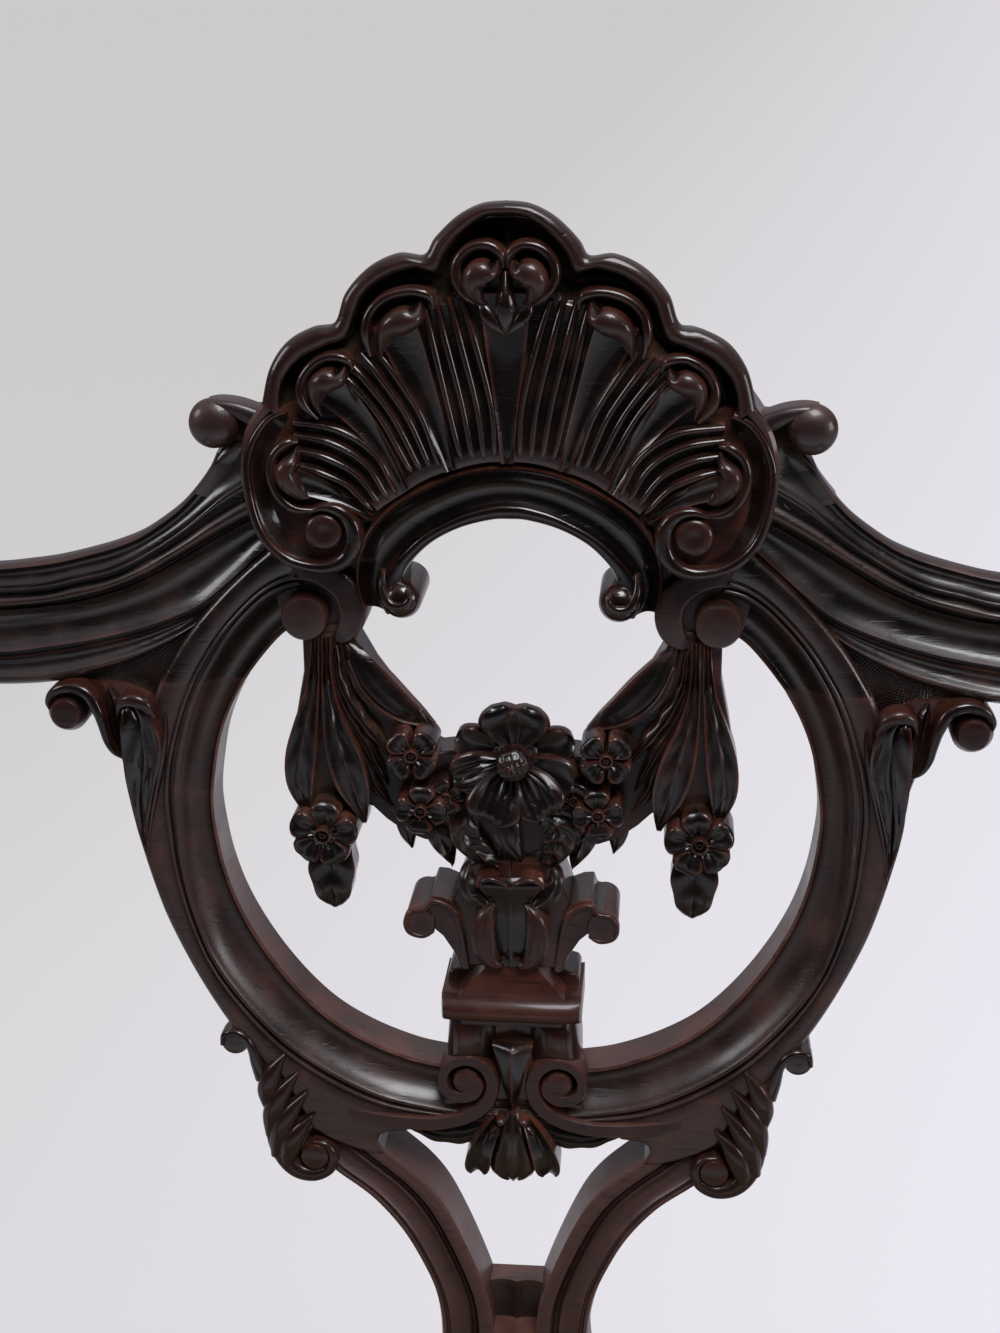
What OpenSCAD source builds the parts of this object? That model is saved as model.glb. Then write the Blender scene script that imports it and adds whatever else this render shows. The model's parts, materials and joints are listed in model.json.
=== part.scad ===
// A carved open armchair: shell crest rail, pierced ring splat with a flower garland,
// scrolled arms, front legs with ball feet, and a seat that lifts out of its rails.
// Millimetres. +Z is up, the front faces -Y, and the origin is on the floor, centred.

/* [Overall] */
// Height of the crest above the floor
chair_h = 1050; // [1020:5:1090]
// Height of the top of the seat rails above the floor
seat_h = 430; // [415:5:445]
// Width of the seat frame across its front
front_w = 655; // [640:5:690]
// Width of the seat frame across its back
back_w = 600; // [590:5:615]
// Depth of the seat frame, front face to back face
seat_d = 480; // [460:5:500]
// Lean of the back from upright, in degrees
recline = 11; // [9:0.5:13]

/* [Seat rails] */
// Height of the seat rails
rail_h = 68; // [60:1:74]
// Thickness of the front and side rails
rail_t = 26; // [24:1:30]
// Thickness of the back rail
back_rail_t = 40; // [36:1:44]
// Drop of the front rail's apron at its middle
apron_drop = 14; // [8:1:20]
// Thickness of a rail tenon
tenon_t = 10; // [8:1:12]
// Shoulder above and below a rail tenon
tenon_shoulder = 9; // [6:1:12]
// Length of the tenons into the leg posts
tenon_l = 26; // [20:1:28]
// Length of the back rail's tenons
back_tenon_l = 18; // [14:1:22]
// Gap between a tenon and its mortise, each side
joint_gap = 0.15; // [0.1:0.05:0.3]

/* [Legs] */
// Width of the square post at the top of a front leg
post_w = 52; // [48:1:56]
// How far a front leg's knee stands out from its post
knee_out = 17; // [12:1:20]
// Width of a front leg at its ankle
ankle_w = 30; // [26:1:34]
// Radius of the ball foot
ball_r = 31; // [28:1:33]
// Height of the ball's centre above the floor
ball_z = 27; // [25:1:27]
// Reach of a knee bracket along its rail
bracket_l = 58; // [45:1:70]
// Drop of a knee bracket below its rail
bracket_h = 56; // [45:1:65]
// Depth of a rear leg at the seat
stile_d = 44; // [42:1:48]
// Width of a rear leg across the back
stile_w = 44; // [42:1:46]
// Set-back of a rear foot behind the seat
rear_rake = 74; // [55:1:85]
// Depth of a rear foot at the floor
rear_foot_d = 36; // [32:1:40]
// Width of a rear foot at the floor
rear_foot_w = 34; // [30:1:38]

/* [Back] */
// Thickness of the crest rail and splat boards
board_t = 27; // [25:1:30]
// Height of the shoe that carries the splat
shoe_h = 36; // [30:1:42]
// Length of the shoe
shoe_l = 184; // [176:1:200]
// Depth of the shoe at its top
shoe_top_d = 36; // [34:1:38]
// Height of the shell's scalloped rim above the crest rail's face
rim_n = 14; // [12:1:16]
// Height of the shell's field above the crest rail's face
fan_n = 6; // [4:1:8]
// Height of the mouldings' beads above the boards
bead_n = 3; // [2:0.5:4]
// Depth of the bouquet in front of the boards
flower_n = 22; // [20:1:24]
// Length of the tenons between the back's boards
back_tenon = 14; // [10:1:18]

/* [Arms] */
// Height of an arm's top at its front scroll
arm_h = 686; // [670:2:700]
// Rise of an arm's top from the scroll to the rear leg
arm_rise = 20; // [10:1:30]
// Thickness of an arm
arm_t = 30; // [26:1:34]
// Width of an arm at its middle
arm_w = 44; // [40:1:48]
// How far the arms bow out past the seat frame
arm_bow = 38; // [30:1:44]
// Set-back of an arm's front scroll behind the seat front
arm_set = 88; // [80:1:100]
// Set-back of an arm support's foot behind the seat front
support_set = 150; // [140:1:160]
// Width of an arm support where it laps the side rail
support_w = 54; // [48:1:58]
// Depth of the housing that an arm support is let into
housing = 8; // [6:1:9]
// How far an arm support stands proud of the side rail
support_proud = 14; // [10:1:18]
// Radius of the round tenon at the top of an arm support
dowel_r = 9; // [7:0.5:10]
// Height of that round tenon
dowel_l = 16; // [12:1:18]

/* [Drop in seat] */
// Width of the rails' lip around the seat
lip = 12; // [10:1:13]
// Depth of the rebate that the seat rests in
rebate = 14; // [12:1:18]
// Gap between the seat's cover and the lip
seat_gap = 1; // [0.8:0.1:1.5]
// Thickness of the cover cloth
cover_t = 1.2; // [1:0.1:1.5]
// Slack between the seat's frame and its cover
fold_gap = 0.8; // [0.6:0.1:1.2]
// Gap between soft pieces and the wood that they rest over
soft_gap = 0.3; // [0.3:0.05:0.5]
// Thickness of the seat's wooden frame
frame_t = 18; // [16:1:22]
// Width of the seat frame's rails
frame_w = 55; // [48:1:62]
// Width of the webbing straps
strap_w = 46; // [40:1:50]
// Thickness of the webbing
strap_t = 1.5; // [1:0.1:2]
// Thickness of the hessian over the webbing
hessian_t = 1; // [0.8:0.1:1.2]
// Rise of the stuffing at the middle of the seat
crown_h = 34; // [25:1:40]
// Radius of the seat's corners
corner_r = 9; // [6:1:12]

/* [Fixings] */
// Length of a corner block's sides
block_l = 66; // [58:1:74]
// Height of a corner block
block_h = 38; // [32:1:42]
// Radius of a wood screw's shank
screw_r = 2; // [1.5:0.25:2.5]
// Radius of a wood screw's head
screw_head_r = 4; // [3.5:0.25:4.5]
// Length of a wood screw
screw_l = 34; // [28:1:38]
// Radius of the pegs through the tenons
peg_r = 3; // [2.5:0.25:3.5]
// Radius of the plugs over the arm screws
plug_r = 6; // [5:0.5:7]
// Thickness of those plugs
plug_t = 5; // [4:0.5:6]

/* [Hidden] */
$fn = 48;

mahogany = [0.26, 0.09, 0.06];
mahogany_light = [0.36, 0.14, 0.08];
beech = [0.72, 0.55, 0.36];
steel = [0.55, 0.55, 0.56];
jute = [0.66, 0.55, 0.38];
hair = [0.80, 0.76, 0.66];
damask = [0.66, 0.53, 0.28];
black_cloth = [0.12, 0.12, 0.13];

// The crest's top on the centre line, up the back's plane
crest_top = 183;
// The level on the back's plane where the rear legs meet the crest rail
crest_low = -15;
// The level of the joint between the crest rail and the ring
ring_joint = -10;
// Height of the back's plane origin, so that the rim's top comes to chair_h
back_z = chair_h - crest_top * cos(recline) - rim_n * sin(recline);
// The rear legs' front face at the seat
stile_y = seat_d - stile_d;
// The back's plane origin, so that its face meets the rear legs' front at the seat
back_y = stile_y + (back_z - seat_h) * tan(recline);
// The chair's middle, front to back, between the knees and the crest's back
mid_y = (back_y + crest_top * sin(recline) + board_t * cos(recline) - knee_out) / 2;
// The underside of the seat rails
rail_z = seat_h - rail_h;
// The side rails' angle in plan
splay = atan((front_w - back_w) / 2 / seat_d);
// The rear legs' outer and inner faces
stile_out = front_w / 2 - (front_w - back_w) / 2 * stile_y / seat_d;
stile_in = stile_out - stile_w;
// The ledge under the seat
ledge_z = seat_h - rebate;
// The back rail's front face
back_rail_y = seat_d - back_rail_t;
shoe_z = seat_h + shoe_h;
// Set-back of the front rail's face behind the front legs' posts
front_y = 2;
// The level on the back's plane where the ring ends and the struts start
strut_v = -208;
// The level of the shoe's top that the struts' outlines are drawn for
drawn_foot = -409.2;
// How deep a raised detail starts inside the board that carries it
sunk = 2;
// Distance of the ball's middle inside the post's outer faces, and of the ankle's
toe = 27;
ankle_mid = 36;
ball_sides = 16;
// The underside of the corner blocks
block_z = rail_z + 8;
// How far a screw runs through its block before it meets the rail
block_reach = 15;
// Distance of the block screws from the corner, and of the upper two above the lower two
screw_in = 26;
screw_up = 9;
// Distance of the pegs inside the legs' inner faces
peg_in = 13;
// How much fuller the pad is over the lip than in the well
fuller = 1.3;

// Half the seat frame's width at a distance behind its front
function side_x(y) = front_w / 2 - (front_w - back_w) / 2 * y / seat_d;
// The same, a distance inside the outer face
function inner_x(y, inside) = side_x(y) - inside / cos(splay);
// A point of the back's plane as distance behind the seat front and height
function back_pt(v, n) = [back_y + v * sin(recline) - n * cos(recline),
    back_z + v * cos(recline) + n * sin(recline)];
// The level on the back's plane of a height above the floor, on its face
function level(z) = (z - back_z) / cos(recline);

// A smooth curve through the points, with a number of steps between each two
function knot(p, i) = p[min(max(i, 0), len(p) - 1)];
function smooth_pt(a, b, c, d, t) = 0.5 * (2 * b + (c - a) * t + (2 * a - 5 * b + 4 * c - d) * t * t
    + (3 * b - a - 3 * c + d) * t * t * t);
function curve(p, steps) = concat([for (i = [0:len(p) - 2]) for (j = [0:steps - 1])
    smooth_pt(knot(p, i - 1), p[i], p[i + 1], knot(p, i + 2), j / steps)], [p[len(p) - 1]]);
function arc(c, r, from, to, steps) = [for (i = [0:steps])
    c + r * [cos(from + (to - from) * i / steps), sin(from + (to - from) * i / steps)]];
function reversed(p) = [for (i = [len(p) - 1:-1:0]) p[i]];
// Points without repeats, and a left half closed by its mirror image
function clean(p) = [for (i = [0:len(p) - 1]) if (norm(p[i] - p[(i + 1) % len(p)]) > 0.05) p[i]];
function both(p) = clean(concat(p, [for (i = [len(p) - 1:-1:0]) [-p[i][0], p[i][1]]]));
// A point moved towards a centre
function toward(p, c, d) = p + (c - p) * d / norm(c - p);
// The band between a line and its copy shifted across it
function side_step(p, i) = let (d = knot(p, i + 1) - knot(p, i - 1)) [-d[1], d[0]] / norm(d);
function band(p, w) = clean(concat(p, [for (i = [len(p) - 1:-1:0]) p[i] + w * side_step(p, i)]));

// The whole chair is drawn from the seat's front face, then centred over the origin
module placed() translate([0, -mid_y, 0]) children();
// Left pieces are drawn at -X, and right ones are their mirror image
module on_side(side) {
    if (side < 0) children();
    else mirror([1, 0, 0]) children();
}
// The back's plane: X across, Y up the plane, Z out of its face
module on_back() translate([0, back_y, back_z]) rotate([90 - recline, 0, 0]) children();
module slab(n0, n1) translate([0, 0, n0]) linear_extrude(n1 - n0) children();
module disc(c, r, n0, n1, sides = 48) translate([c[0], c[1], n0]) cylinder(r = r, h = n1 - n0, $fn = sides);
// Plan outlines raised, side outlines run along X and front outlines run along Y
module plan(z0, z1) translate([0, 0, z0]) linear_extrude(z1 - z0) children();
module from_side(x0, x1) translate([x0, 0, 0]) rotate([90, 0, 90]) linear_extrude(x1 - x0) children();
module from_front(y0, y1) translate([0, y1, 0]) rotate([90, 0, 0]) linear_extrude(y1 - y0) children();
module box(a, b) translate(a) cube(b - a);

// Outlines of the back, on its plane, left half

ear = [-115, 97];
ear_r = 9.5;
ring_volute = [-83, 18];
ring_volute_r = 10;
arch_ball = [-44, 27];
arch_ball_r = 8;
end_scroll = [-stile_out - 5, 50];
end_scroll_r = 13;
shell_volute = [-72, 59];
shell_volute_r = 9;
fan_c = [0, 52];

function scallop() = concat(
    curve([[0, crest_top], [-13, 180.5], [-25, 171.5], [-30, 164]], 4),
    curve([[-32, 163.5], [-43, 162.5], [-55, 155], [-62, 146], [-64, 139]], 3),
    curve([[-66, 138.5], [-76, 135.5], [-86, 128], [-91, 119], [-93, 109]], 3));
function side_scroll() = concat(
    curve([[-96, 103], [-101, 94], [-102.5, 82], [-100, 62], [-92, 49], [-83, 44]], 3),
    curve([[-71, 42], [-63, 45.5], [-57, 53]], 3));
function arch_inner() = curve([[-42, 38.5], [-40, 44], [-35, 50], [-27, 55], [-15, 59], [0, 61]], 2);
function arch_outer() = curve([[-51, 28], [-49, 43], [-43, 51], [-33, 59], [-18, 65], [0, 67]], 2);
function ring_inner() = curve([[-94, 9], [-102, 0], [-109.5, ring_joint], [-116, -22], [-122.5, -42],
    [-126, -65], [-125, -85], [-121, -103], [-114, -120], [-104, -137], [-91, -154], [-77, -167],
    [-60, -177], [-35, -186], [0, -189]], 2);
function ring_outer() = curve([[-150, ring_joint], [-157, -30], [-160, -54], [-158, -76],
    [-152, -102], [-144, -126], [-133, -149], [-120, -171], [-106, -192], [-94, -208]], 2);
function bead_line() = curve([[-125, ring_joint], [-132, -22], [-138, -42], [-140.5, -65], [-139, -92],
    [-134, -118], [-126, -139], [-112, -159], [-97, -176], [-78, -190], [-57, -199.5], [-34, -204.5]], 2);
function rail_top() = curve([[-118, 86], [-121, 77], [-128, 67.5], [-141, 56], [-158, 46.5],
    [-180, 39.5], [-208, 36.5], [-235, 37], [4 - stile_in, 43], [-15 - stile_in, 52],
    [-30 - stile_in, 60]], 2);
function rail_under() = curve([[-150, ring_joint], [-163, -8.5], [-176, -10.5], [-191, -13],
    [-212, crest_low]], 2);

// The part of the ring's inner edge above and below the joint
function above_joint(p) = [for (q = p) if (q[1] >= ring_joint - 0.01) q];
function below_joint(p) = [for (q = p) if (q[1] <= ring_joint + 0.01) q];

function crest_outline() = both(concat(
    scallop(), [[-97, 106]],
    arc(ear, ear_r, 60, 262, 10),
    rail_top(),
    arc(end_scroll, end_scroll_r, 100, 292, 9),
    curve([[-stile_out - 4, 30], [-stile_out - 5, 12], [-stile_out, crest_low]], 3),
    [[-stile_in, crest_low]],
    reversed(rail_under()),
    reversed(above_joint(ring_inner())),
    arc(ring_volute, ring_volute_r, 222, 318, 5),
    curve([[-68, 10], [-62, 13], [-59, 19], [-58, 26]], 2),
    [[-53.5, 29]],
    arc(arch_ball, arch_ball_r, 190, 392, 9),
    arch_inner()));

// Square mortise or tenon block in the back's plane
module back_peg(u0, u1, v0, v1, gap) {
    mid = board_t / 2;
    box([u0 - gap, v0 - gap, -mid - tenon_t / 2 - gap], [u1 + gap, v1 + gap, -mid + tenon_t / 2 + gap]);
}
module crest_joints(gap) for (side = [-1, 1]) on_side(side) {
    back_peg(10 - stile_out, -stile_in - 10, crest_low - 1, crest_low + back_tenon * 1.5, gap);
    back_peg(-142, -118, ring_joint - 1, ring_joint + back_tenon, gap);
}

module crest_rail() placed() color(mahogany) on_back() {
    difference() {
        slab(-board_t, 0) polygon(crest_outline());
        crest_joints(joint_gap);
    }
    for (side = [-1, 1]) on_side(side) {
        disc(ear, ear_r - 1.5, -sunk, bead_n + 2, 12);
        disc(end_scroll, end_scroll_r - 2, -sunk, bead_n + 2);
        disc(ring_volute, ring_volute_r - 1, -sunk, 8);
        disc(arch_ball, arch_ball_r - 1, -sunk, 10, 12);
        slab(-sunk, bead_n) polygon(band(curve([[-118, 53], [-134, 42], [-155, 31.5], [-182, 24],
            [-212, 21.5], [-stile_in, 26], [-stile_in - 28, 39]], 2), 6));
        slab(-sunk, bead_n) polygon(band(curve([[-118, 21], [-130, 13], [-148, 5.5], [-168, 0],
            [-190, -4.5], [-214, -7], [-stile_in - 30, -6]], 2), 5));
        slab(-sunk, bead_n) polygon(band(above_joint(curve([[-86, 34], [-98, 29], [-109, 19],
            [-118, 7], [-125.2, ring_joint]], 3)), -5));
    }
    slab(-sunk, 6) polygon(both(concat(curve([[0, 66.5], [-17, 64], [-31, 58.5], [-44, 50]], 2),
        curve([[-41, 46.5], [-34, 52.5], [-15.5, 60.3], [0, 62.2]], 2))));
}

function scroll_rim(p) = toward(p, [-76, 67], 8);
module crest_shell() placed() color(mahogany_light) on_back() {
    fan_under = curve([[-56, 60], [-49, 67], [-40, 74], [-29, 79.5], [-15, 83], [0, 84]], 2);
    outer = concat(scallop(), side_scroll());
    inner = [for (p = reversed(outer)) p[1] > 95 ? toward(p, fan_c, 9) : scroll_rim(p)];
    slab(0, fan_n) polygon(both(concat(scallop(), side_scroll(), fan_under)));
    for (side = [-1, 1]) on_side(side) {
        slab(fan_n - sunk, rim_n) polygon(clean(concat(outer, inner)));
        disc(shell_volute, shell_volute_r, fan_n - sunk, rim_n - 1, 12);
        // Curls at the tips of the flutes
        for (tip = [[-39, 139], [-65, 116], [-77, 90]]) disc(tip, 6, fan_n - sunk, rim_n + 4, 12);
        disc([-9.5, 157], 8, fan_n - sunk, rim_n + 4, 12);
        // Thin ribs in the valleys between the wide flutes
        for (valley = [[13, 52], [39, 46], [63, 34]]) for (rib = [-1.5:1:1.5])
            translate([fan_c[0], fan_c[1], fan_n - sunk]) rotate(90 + valley[0] + rib * 3.4)
                translate([35, -1, 0]) cube([valley[1], 2, sunk + 3.5]);
    }
}

// The splat: the ring below its joint, the two struts, and the scroll feet on the shoe

foot_v = level(shoe_z);
// Outlines below the ring are drawn for a shoe at drawn_foot, and stretch to where the shoe is
function strut_level(v) = v >= strut_v ? v
    : strut_v + (v - strut_v) * (foot_v - strut_v) / (drawn_foot - strut_v);
function strut(p) = [for (q = p) [q[0], strut_level(q[1])]];
function splat_outline() = let (low = drawn_foot - 12) strut(both(concat(
    [[0, -189], [-35, -186]],
    reversed([for (q = below_joint(ring_inner())) if (q[0] < -36) q]),
    ring_outer(),
    curve([[-86, -222], [-79, -239], [-64, -252], [-51, -268], [-42, -285], [-36, -301], [-33.5, -320],
        [-35, -342], [-44, -366], [-60, -388], [-72, -404], [-76, low]], 2),
    [[-46, low]],
    curve([[-40, -396], [-22, -372], [-9, -352], [0, -341]], 2))));
function v_opening() = strut(both(concat([[0, -214], [-44, -214]],
    curve([[-58, -216], [-59, -222], [-50, -231], [-39, -242], [-31, -253], [-23, -271], [-15, -292],
        [-11, -304]], 2), [[-10, -324], [0, -332]])));

module ring_bead() slab(-sunk, bead_n) polygon(band(bead_line(), 5));

module back_splat() placed() color(mahogany) difference() {
    on_back() {
        difference() {
            slab(-board_t, 0) polygon(splat_outline());
            slab(-board_t - 1, 1) polygon(v_opening());
        }
        slab(-board_t, -10) polygon(strut([[-14, -302], [14, -302], [14, -336], [-14, -336]]));
        for (side = [-1, 1]) on_side(side) {
            ring_bead();
            slab(-sunk, bead_n) polygon(band(strut(curve([[-70, -222], [-62, -238], [-48, -253],
                [-36, -274], [-27, -298], [-24, -322], [-27, -346], [-40, -372], [-56, -394]], 2)), 5));
            difference() {
                back_peg(-142, -118, ring_joint - 1, ring_joint + back_tenon, 0);
                box([-200, -40, -board_t], [0, ring_joint, 0]);
            }
        }
    }
    box([-200, 300, shoe_z - 60], [200, 600, shoe_z]);
}

module splat_bracket(side) placed() color(mahogany_light) on_side(side) on_back() {
    c = [-185, -26];
    difference() {
        union() {
            slab(sunk - board_t, 2) polygon(clean(concat([[-148, -4], [-176, -4], [-190, -12]],
                arc(c, 10, 60, 250, 8),
                curve([[-176, -33], [-169, -36], [-166, -40], [-161, -52], [-158, -66], [-154, -80]], 2),
                [[-148, -66], [-144, -40]])));
            disc(c, 8.5, -sunk, 4);
        }
        slab(-board_t - 1, 5) polygon(crest_outline());
        slab(-board_t - 1, 5) polygon(splat_outline());
    }
    // The leaf that laps over the ring's flat
    slab(0, 4) difference() {
        polygon(curve([[-150, -11], [-145, -24], [-146, -42], [-151, -60], [-159, -80], [-161, -62],
            [-165, -44], [-162, -26], [-150, -11]], 2));
        polygon(crest_outline());
    }
}

module splat_scroll(side) placed() color(mahogany_light) on_side(side) on_back() {
    roll = [-121, -176];
    volute = [-87, -231];
    difference() {
        union() {
            slab(sunk - board_t, -1) polygon(clean(concat(arc(roll, 6, 60, 230, 6),
                curve([[-115, -183], [-111, -193], [-109, -208], [-110, -222], [-106, -234], [-96, -240]], 2),
                arc(volute, 9, 230, 350, 5), [[-80, -222], [-96, -196], [-112, -172]])));
            disc(volute, 7.5, -sunk - 2, 5);
            disc(roll, 5, -sunk - 2, 3, 12);
        }
        slab(-board_t - 1, 6) polygon(splat_outline());
    }
}

// The garland: leafy swags, two hanging drops and the bouquet over the pedestal

module petal(c, r, n0, n1) translate([c[0], c[1], n0]) cylinder(r = r, h = n1 - n0, $fn = 7);
module blossom(c, r, n0, n1, petals) {
    for (i = [0:petals - 1]) {
        a = 90 + 360 * i / petals;
        petal(c + r * 0.56 * [cos(a), sin(a)], r * 0.46, n0, n1 - r * 0.16);
    }
    petal(c, r * 0.24, n0, n1);
}

module flower_garland() placed() color(mahogany_light) on_back() {
    difference() {
        slab(-board_t + 9, 2) polygon(both(concat([[0, -16], [-22, -20], [-30, -34]],
            curve([[-34, -27], [-46, -14], [-56, -3], [-63, 6], [-68, 14]], 2), [[-88, 12]],
            curve([[-88, -4], [-92, -28], [-93, -48], [-90, -64], [-80, -60]], 2),
            curve([[-72, -52], [-66, -66], [-58, -64], [-50, -72], [-42, -82], [-30, -80], [-24, -90]], 2),
            [[-12, -96], [0, -98]])));
        slab(-board_t - 1, 20) polygon(crest_outline());
    }
    for (side = [-1, 1]) on_side(side) {
        slab(-board_t + 12, 1) polygon(curve([[-76, -58], [-86, -74], [-86, -96], [-76, -110],
            [-67, -96], [-66, -74], [-76, -58]], 3));
        blossom([-77, -72], 15, -6, 14, 5);
        blossom([-40, -37], 13, 0, 17, 4);
        blossom([-35, -60], 13, 0, 16, 4);
    }
    blossom([0, -36], 27, 0, flower_n, 6);
}

module garland_pedestal() placed() color(mahogany) on_back() {
    difference() {
        union() {
            slab(-board_t, 4) polygon(both(concat([[0, -99], [-30, -99]],
                arc([-38, -112], 7, 80, 275, 7),
                curve([[-30, -114], [-20, -122], [-18, -132], [-26, -140]], 2), [[0, -140]])));
            slab(-board_t, 6) polygon(both([[0, -138], [-30, -138], [-30, -146], [0, -146]]));
            slab(-board_t, 10) polygon(both([[0, -145.9], [-29, -145.9], [-29, -157], [0, -157]]));
            slab(-board_t, -0.01) polygon(both([[0, -156.9], [-26, -156.9], [-28, -192], [0, -192]]));
            slab(-sunk, 6) polygon(both([[0, -156.9], [-26, -156.9], [-27, -176], [0, -176]]));
            for (side = [-1, 1]) on_side(side) {
                disc([-38, -112], 6.5, -10, 8, 12);
                disc([-11, -121], 8, 2, 13, 12);
            }
        }
        slab(-board_t - 1, 30) polygon(splat_outline());
    }
}

module palmette_drop() placed() color(mahogany_light) on_back() difference() {
    union() {
        slab(0, 7) polygon(both(concat([[0, -192], [-8, -192]],
            curve([[-28, -192], [-32, -202], [-48, -211], [-30, -215], [-19, -222]], 2),
            [[-19, -234], [-10, -231], [-5, -237], [0, -238]])));
        for (side = [-1, 1]) on_side(side) disc([-20, -189], 12, 0, 12);
    }
    for (side = [-1, 1]) on_side(side) ring_bead();
}

module splat_shoe() placed() color(mahogany) {
    y0 = back_pt(foot_v, 0)[0] - (shoe_top_d - board_t) / 2;
    difference() {
        from_side(-shoe_l / 2, shoe_l / 2) polygon(concat([[back_rail_y, seat_h], [back_rail_y, seat_h + 8]],
            curve([[back_rail_y + 1, seat_h + 14], [y0 - 1, shoe_z - 10], [y0, shoe_z]], 3),
            [[y0 + shoe_top_d, shoe_z]],
            curve([[y0 + shoe_top_d + 1, shoe_z - 10], [seat_d - 2, seat_h + 14], [seat_d - 1, seat_h + 8]], 3),
            [[seat_d - 1, seat_h]]));
        for (side = [-1, 1]) on_side(side)
            translate([-shoe_l / 2, 0, shoe_z + 4]) rotate([-90, 0, 0]) cylinder(r = shoe_h * 0.62, h = seat_d * 2);
    }
}

// Rear legs, sawn from the side and from the front

function stile_side() = let (top_f = back_pt(crest_low, 0), top_b = back_pt(crest_low, -board_t),
        foot = stile_y + rear_rake) clean(concat(
    [top_f, [stile_y, seat_h]],
    curve([[stile_y, rail_z], [stile_y + 0.07 * rear_rake, rail_z * 0.82],
        [stile_y + 0.29 * rear_rake, rail_z * 0.55], [stile_y + 0.64 * rear_rake, rail_z * 0.26],
        [foot, 0]], 3),
    curve([[foot + rear_foot_d, 0], [stile_y + 0.64 * rear_rake + 39, rail_z * 0.26],
        [stile_y + 0.29 * rear_rake + 42, rail_z * 0.55],
        [seat_d + 0.07 * rear_rake, rail_z * 0.82], [seat_d, rail_z]], 3),
    curve([[seat_d, seat_h], [back_pt(level(seat_h + 90), 0)[0] + stile_d - 3, seat_h + 90],
        [back_pt(level(seat_h + 250), 0)[0] + 35, seat_h + 250], top_b], 3)));
function stile_front() = clean(concat(
    [[-stile_in, chair_h], [-stile_out, chair_h]],
    curve([[-stile_out, back_z - 60], [-stile_out - 2, seat_h + 180], [-stile_out, seat_h]], 3),
    curve([[-stile_out, rail_z], [-stile_out + 3, rail_z * 0.5], [-stile_out + 4, 0]], 3),
    curve([[-stile_out + 4 + rear_foot_w, 0], [-stile_in - 6, rail_z * 0.5], [-stile_in, rail_z]], 3),
    curve([[-stile_in, seat_h], [-stile_in - 2, seat_h + 180], [-stile_in, back_z - 60]], 3)));

module stile_blank() intersection() {
    from_side(-stile_out - 20, -stile_in + 20) polygon(stile_side());
    from_front(stile_y - 20, stile_y + 300) polygon(stile_front());
}

module rear_leg(side) placed() color(mahogany) on_side(side) difference() {
    union() {
        stile_blank();
        on_back() back_peg(10 - stile_out, -stile_in - 10, crest_low - 1,
            crest_low + back_tenon * 1.5 - 1, 0);
    }
    side_rail_tenons(joint_gap);
    back_rail_tenon(joint_gap);
    peg_holes();
    arm_screw_hole();
}

// Seat rails. A side rail's plan runs along the splayed side

function side_strip(y0, y1, outside, inside) = [[-inner_x(y0, outside), y0], [-inner_x(y1, outside), y1],
    [-inner_x(y1, inside), y1], [-inner_x(y0, inside), y0]];
module side_rail_tenons(gap) {
    near = (rail_t - tenon_t) / 2;
    plan(rail_z + tenon_shoulder - gap, ledge_z - tenon_shoulder + gap) {
        polygon(side_strip(post_w - tenon_l - gap, post_w + 1, near - gap, near + tenon_t + gap));
        polygon(side_strip(stile_y - 1, stile_y + tenon_l + gap, near - gap, near + tenon_t + gap));
    }
}
module back_rail_tenon(gap) {
    mid = back_rail_y + back_rail_t / 2;
    box([-stile_in - back_tenon_l - gap, mid - tenon_t / 2 - gap, rail_z + tenon_shoulder - gap],
        [-stile_in + 1, mid + tenon_t / 2 + gap, ledge_z - tenon_shoulder + gap]);
}
module front_rail_tenon(gap) {
    mid = front_y + rail_t / 2;
    box([post_w - front_w / 2 - tenon_l + 1 - gap, mid - 7 - gap, rail_z + tenon_shoulder - gap],
        [post_w - front_w / 2 + 1, mid - 7 + tenon_t + gap, ledge_z - tenon_shoulder + gap]);
}

// The well that the seat drops into, drawn in by a distance
function well(inset) = let (y0 = lip + inset, y1 = stile_y - inset, near = lip + inset)
    [[-inner_x(y0, near), y0], [inner_x(y0, near), y0], [inner_x(y1, near), y1], [-inner_x(y1, near), y1]];
module seat_well() plan(ledge_z, seat_h + 1) polygon(well(0));

module side_rail(side) placed() color(mahogany) on_side(side) difference() {
    union() {
        plan(rail_z, seat_h) polygon(side_strip(post_w, stile_y, 0, rail_t));
        difference() {
            side_rail_tenons(0);
            plan(0, seat_h) polygon(side_strip(post_w, stile_y, 0, rail_t));
        }
    }
    seat_well();
    support_foot(joint_gap);
    peg_holes();
    block_screw_holes();
    support_screw_holes();
}

module front_seat_rail() placed() color(mahogany) difference() {
    half = front_w / 2 - post_w;
    union() {
        from_front(front_y, front_y + rail_t) polygon(both(concat([[0, seat_h], [-half, seat_h], [-half, rail_z]],
            curve([[-half * 0.6, rail_z], [-half * 0.4, rail_z - 1], [-half * 0.22, rail_z - apron_drop * 0.7],
                [0, rail_z - apron_drop]], 4))));
        for (side = [-1, 1]) on_side(side) front_rail_tenon(0);
    }
    seat_well();
    for (side = [-1, 1]) on_side(side) {
        peg_holes();
        block_screw_holes();
    }
}

module back_seat_rail() placed() color(mahogany) difference() {
    union() {
        box([-stile_in, back_rail_y, rail_z], [stile_in, seat_d - 1, seat_h]);
        for (side = [-1, 1]) on_side(side) back_rail_tenon(0);
    }
    for (side = [-1, 1]) on_side(side) block_screw_holes();
}

// Front legs, sawn to one outline from the front and from the side

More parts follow.
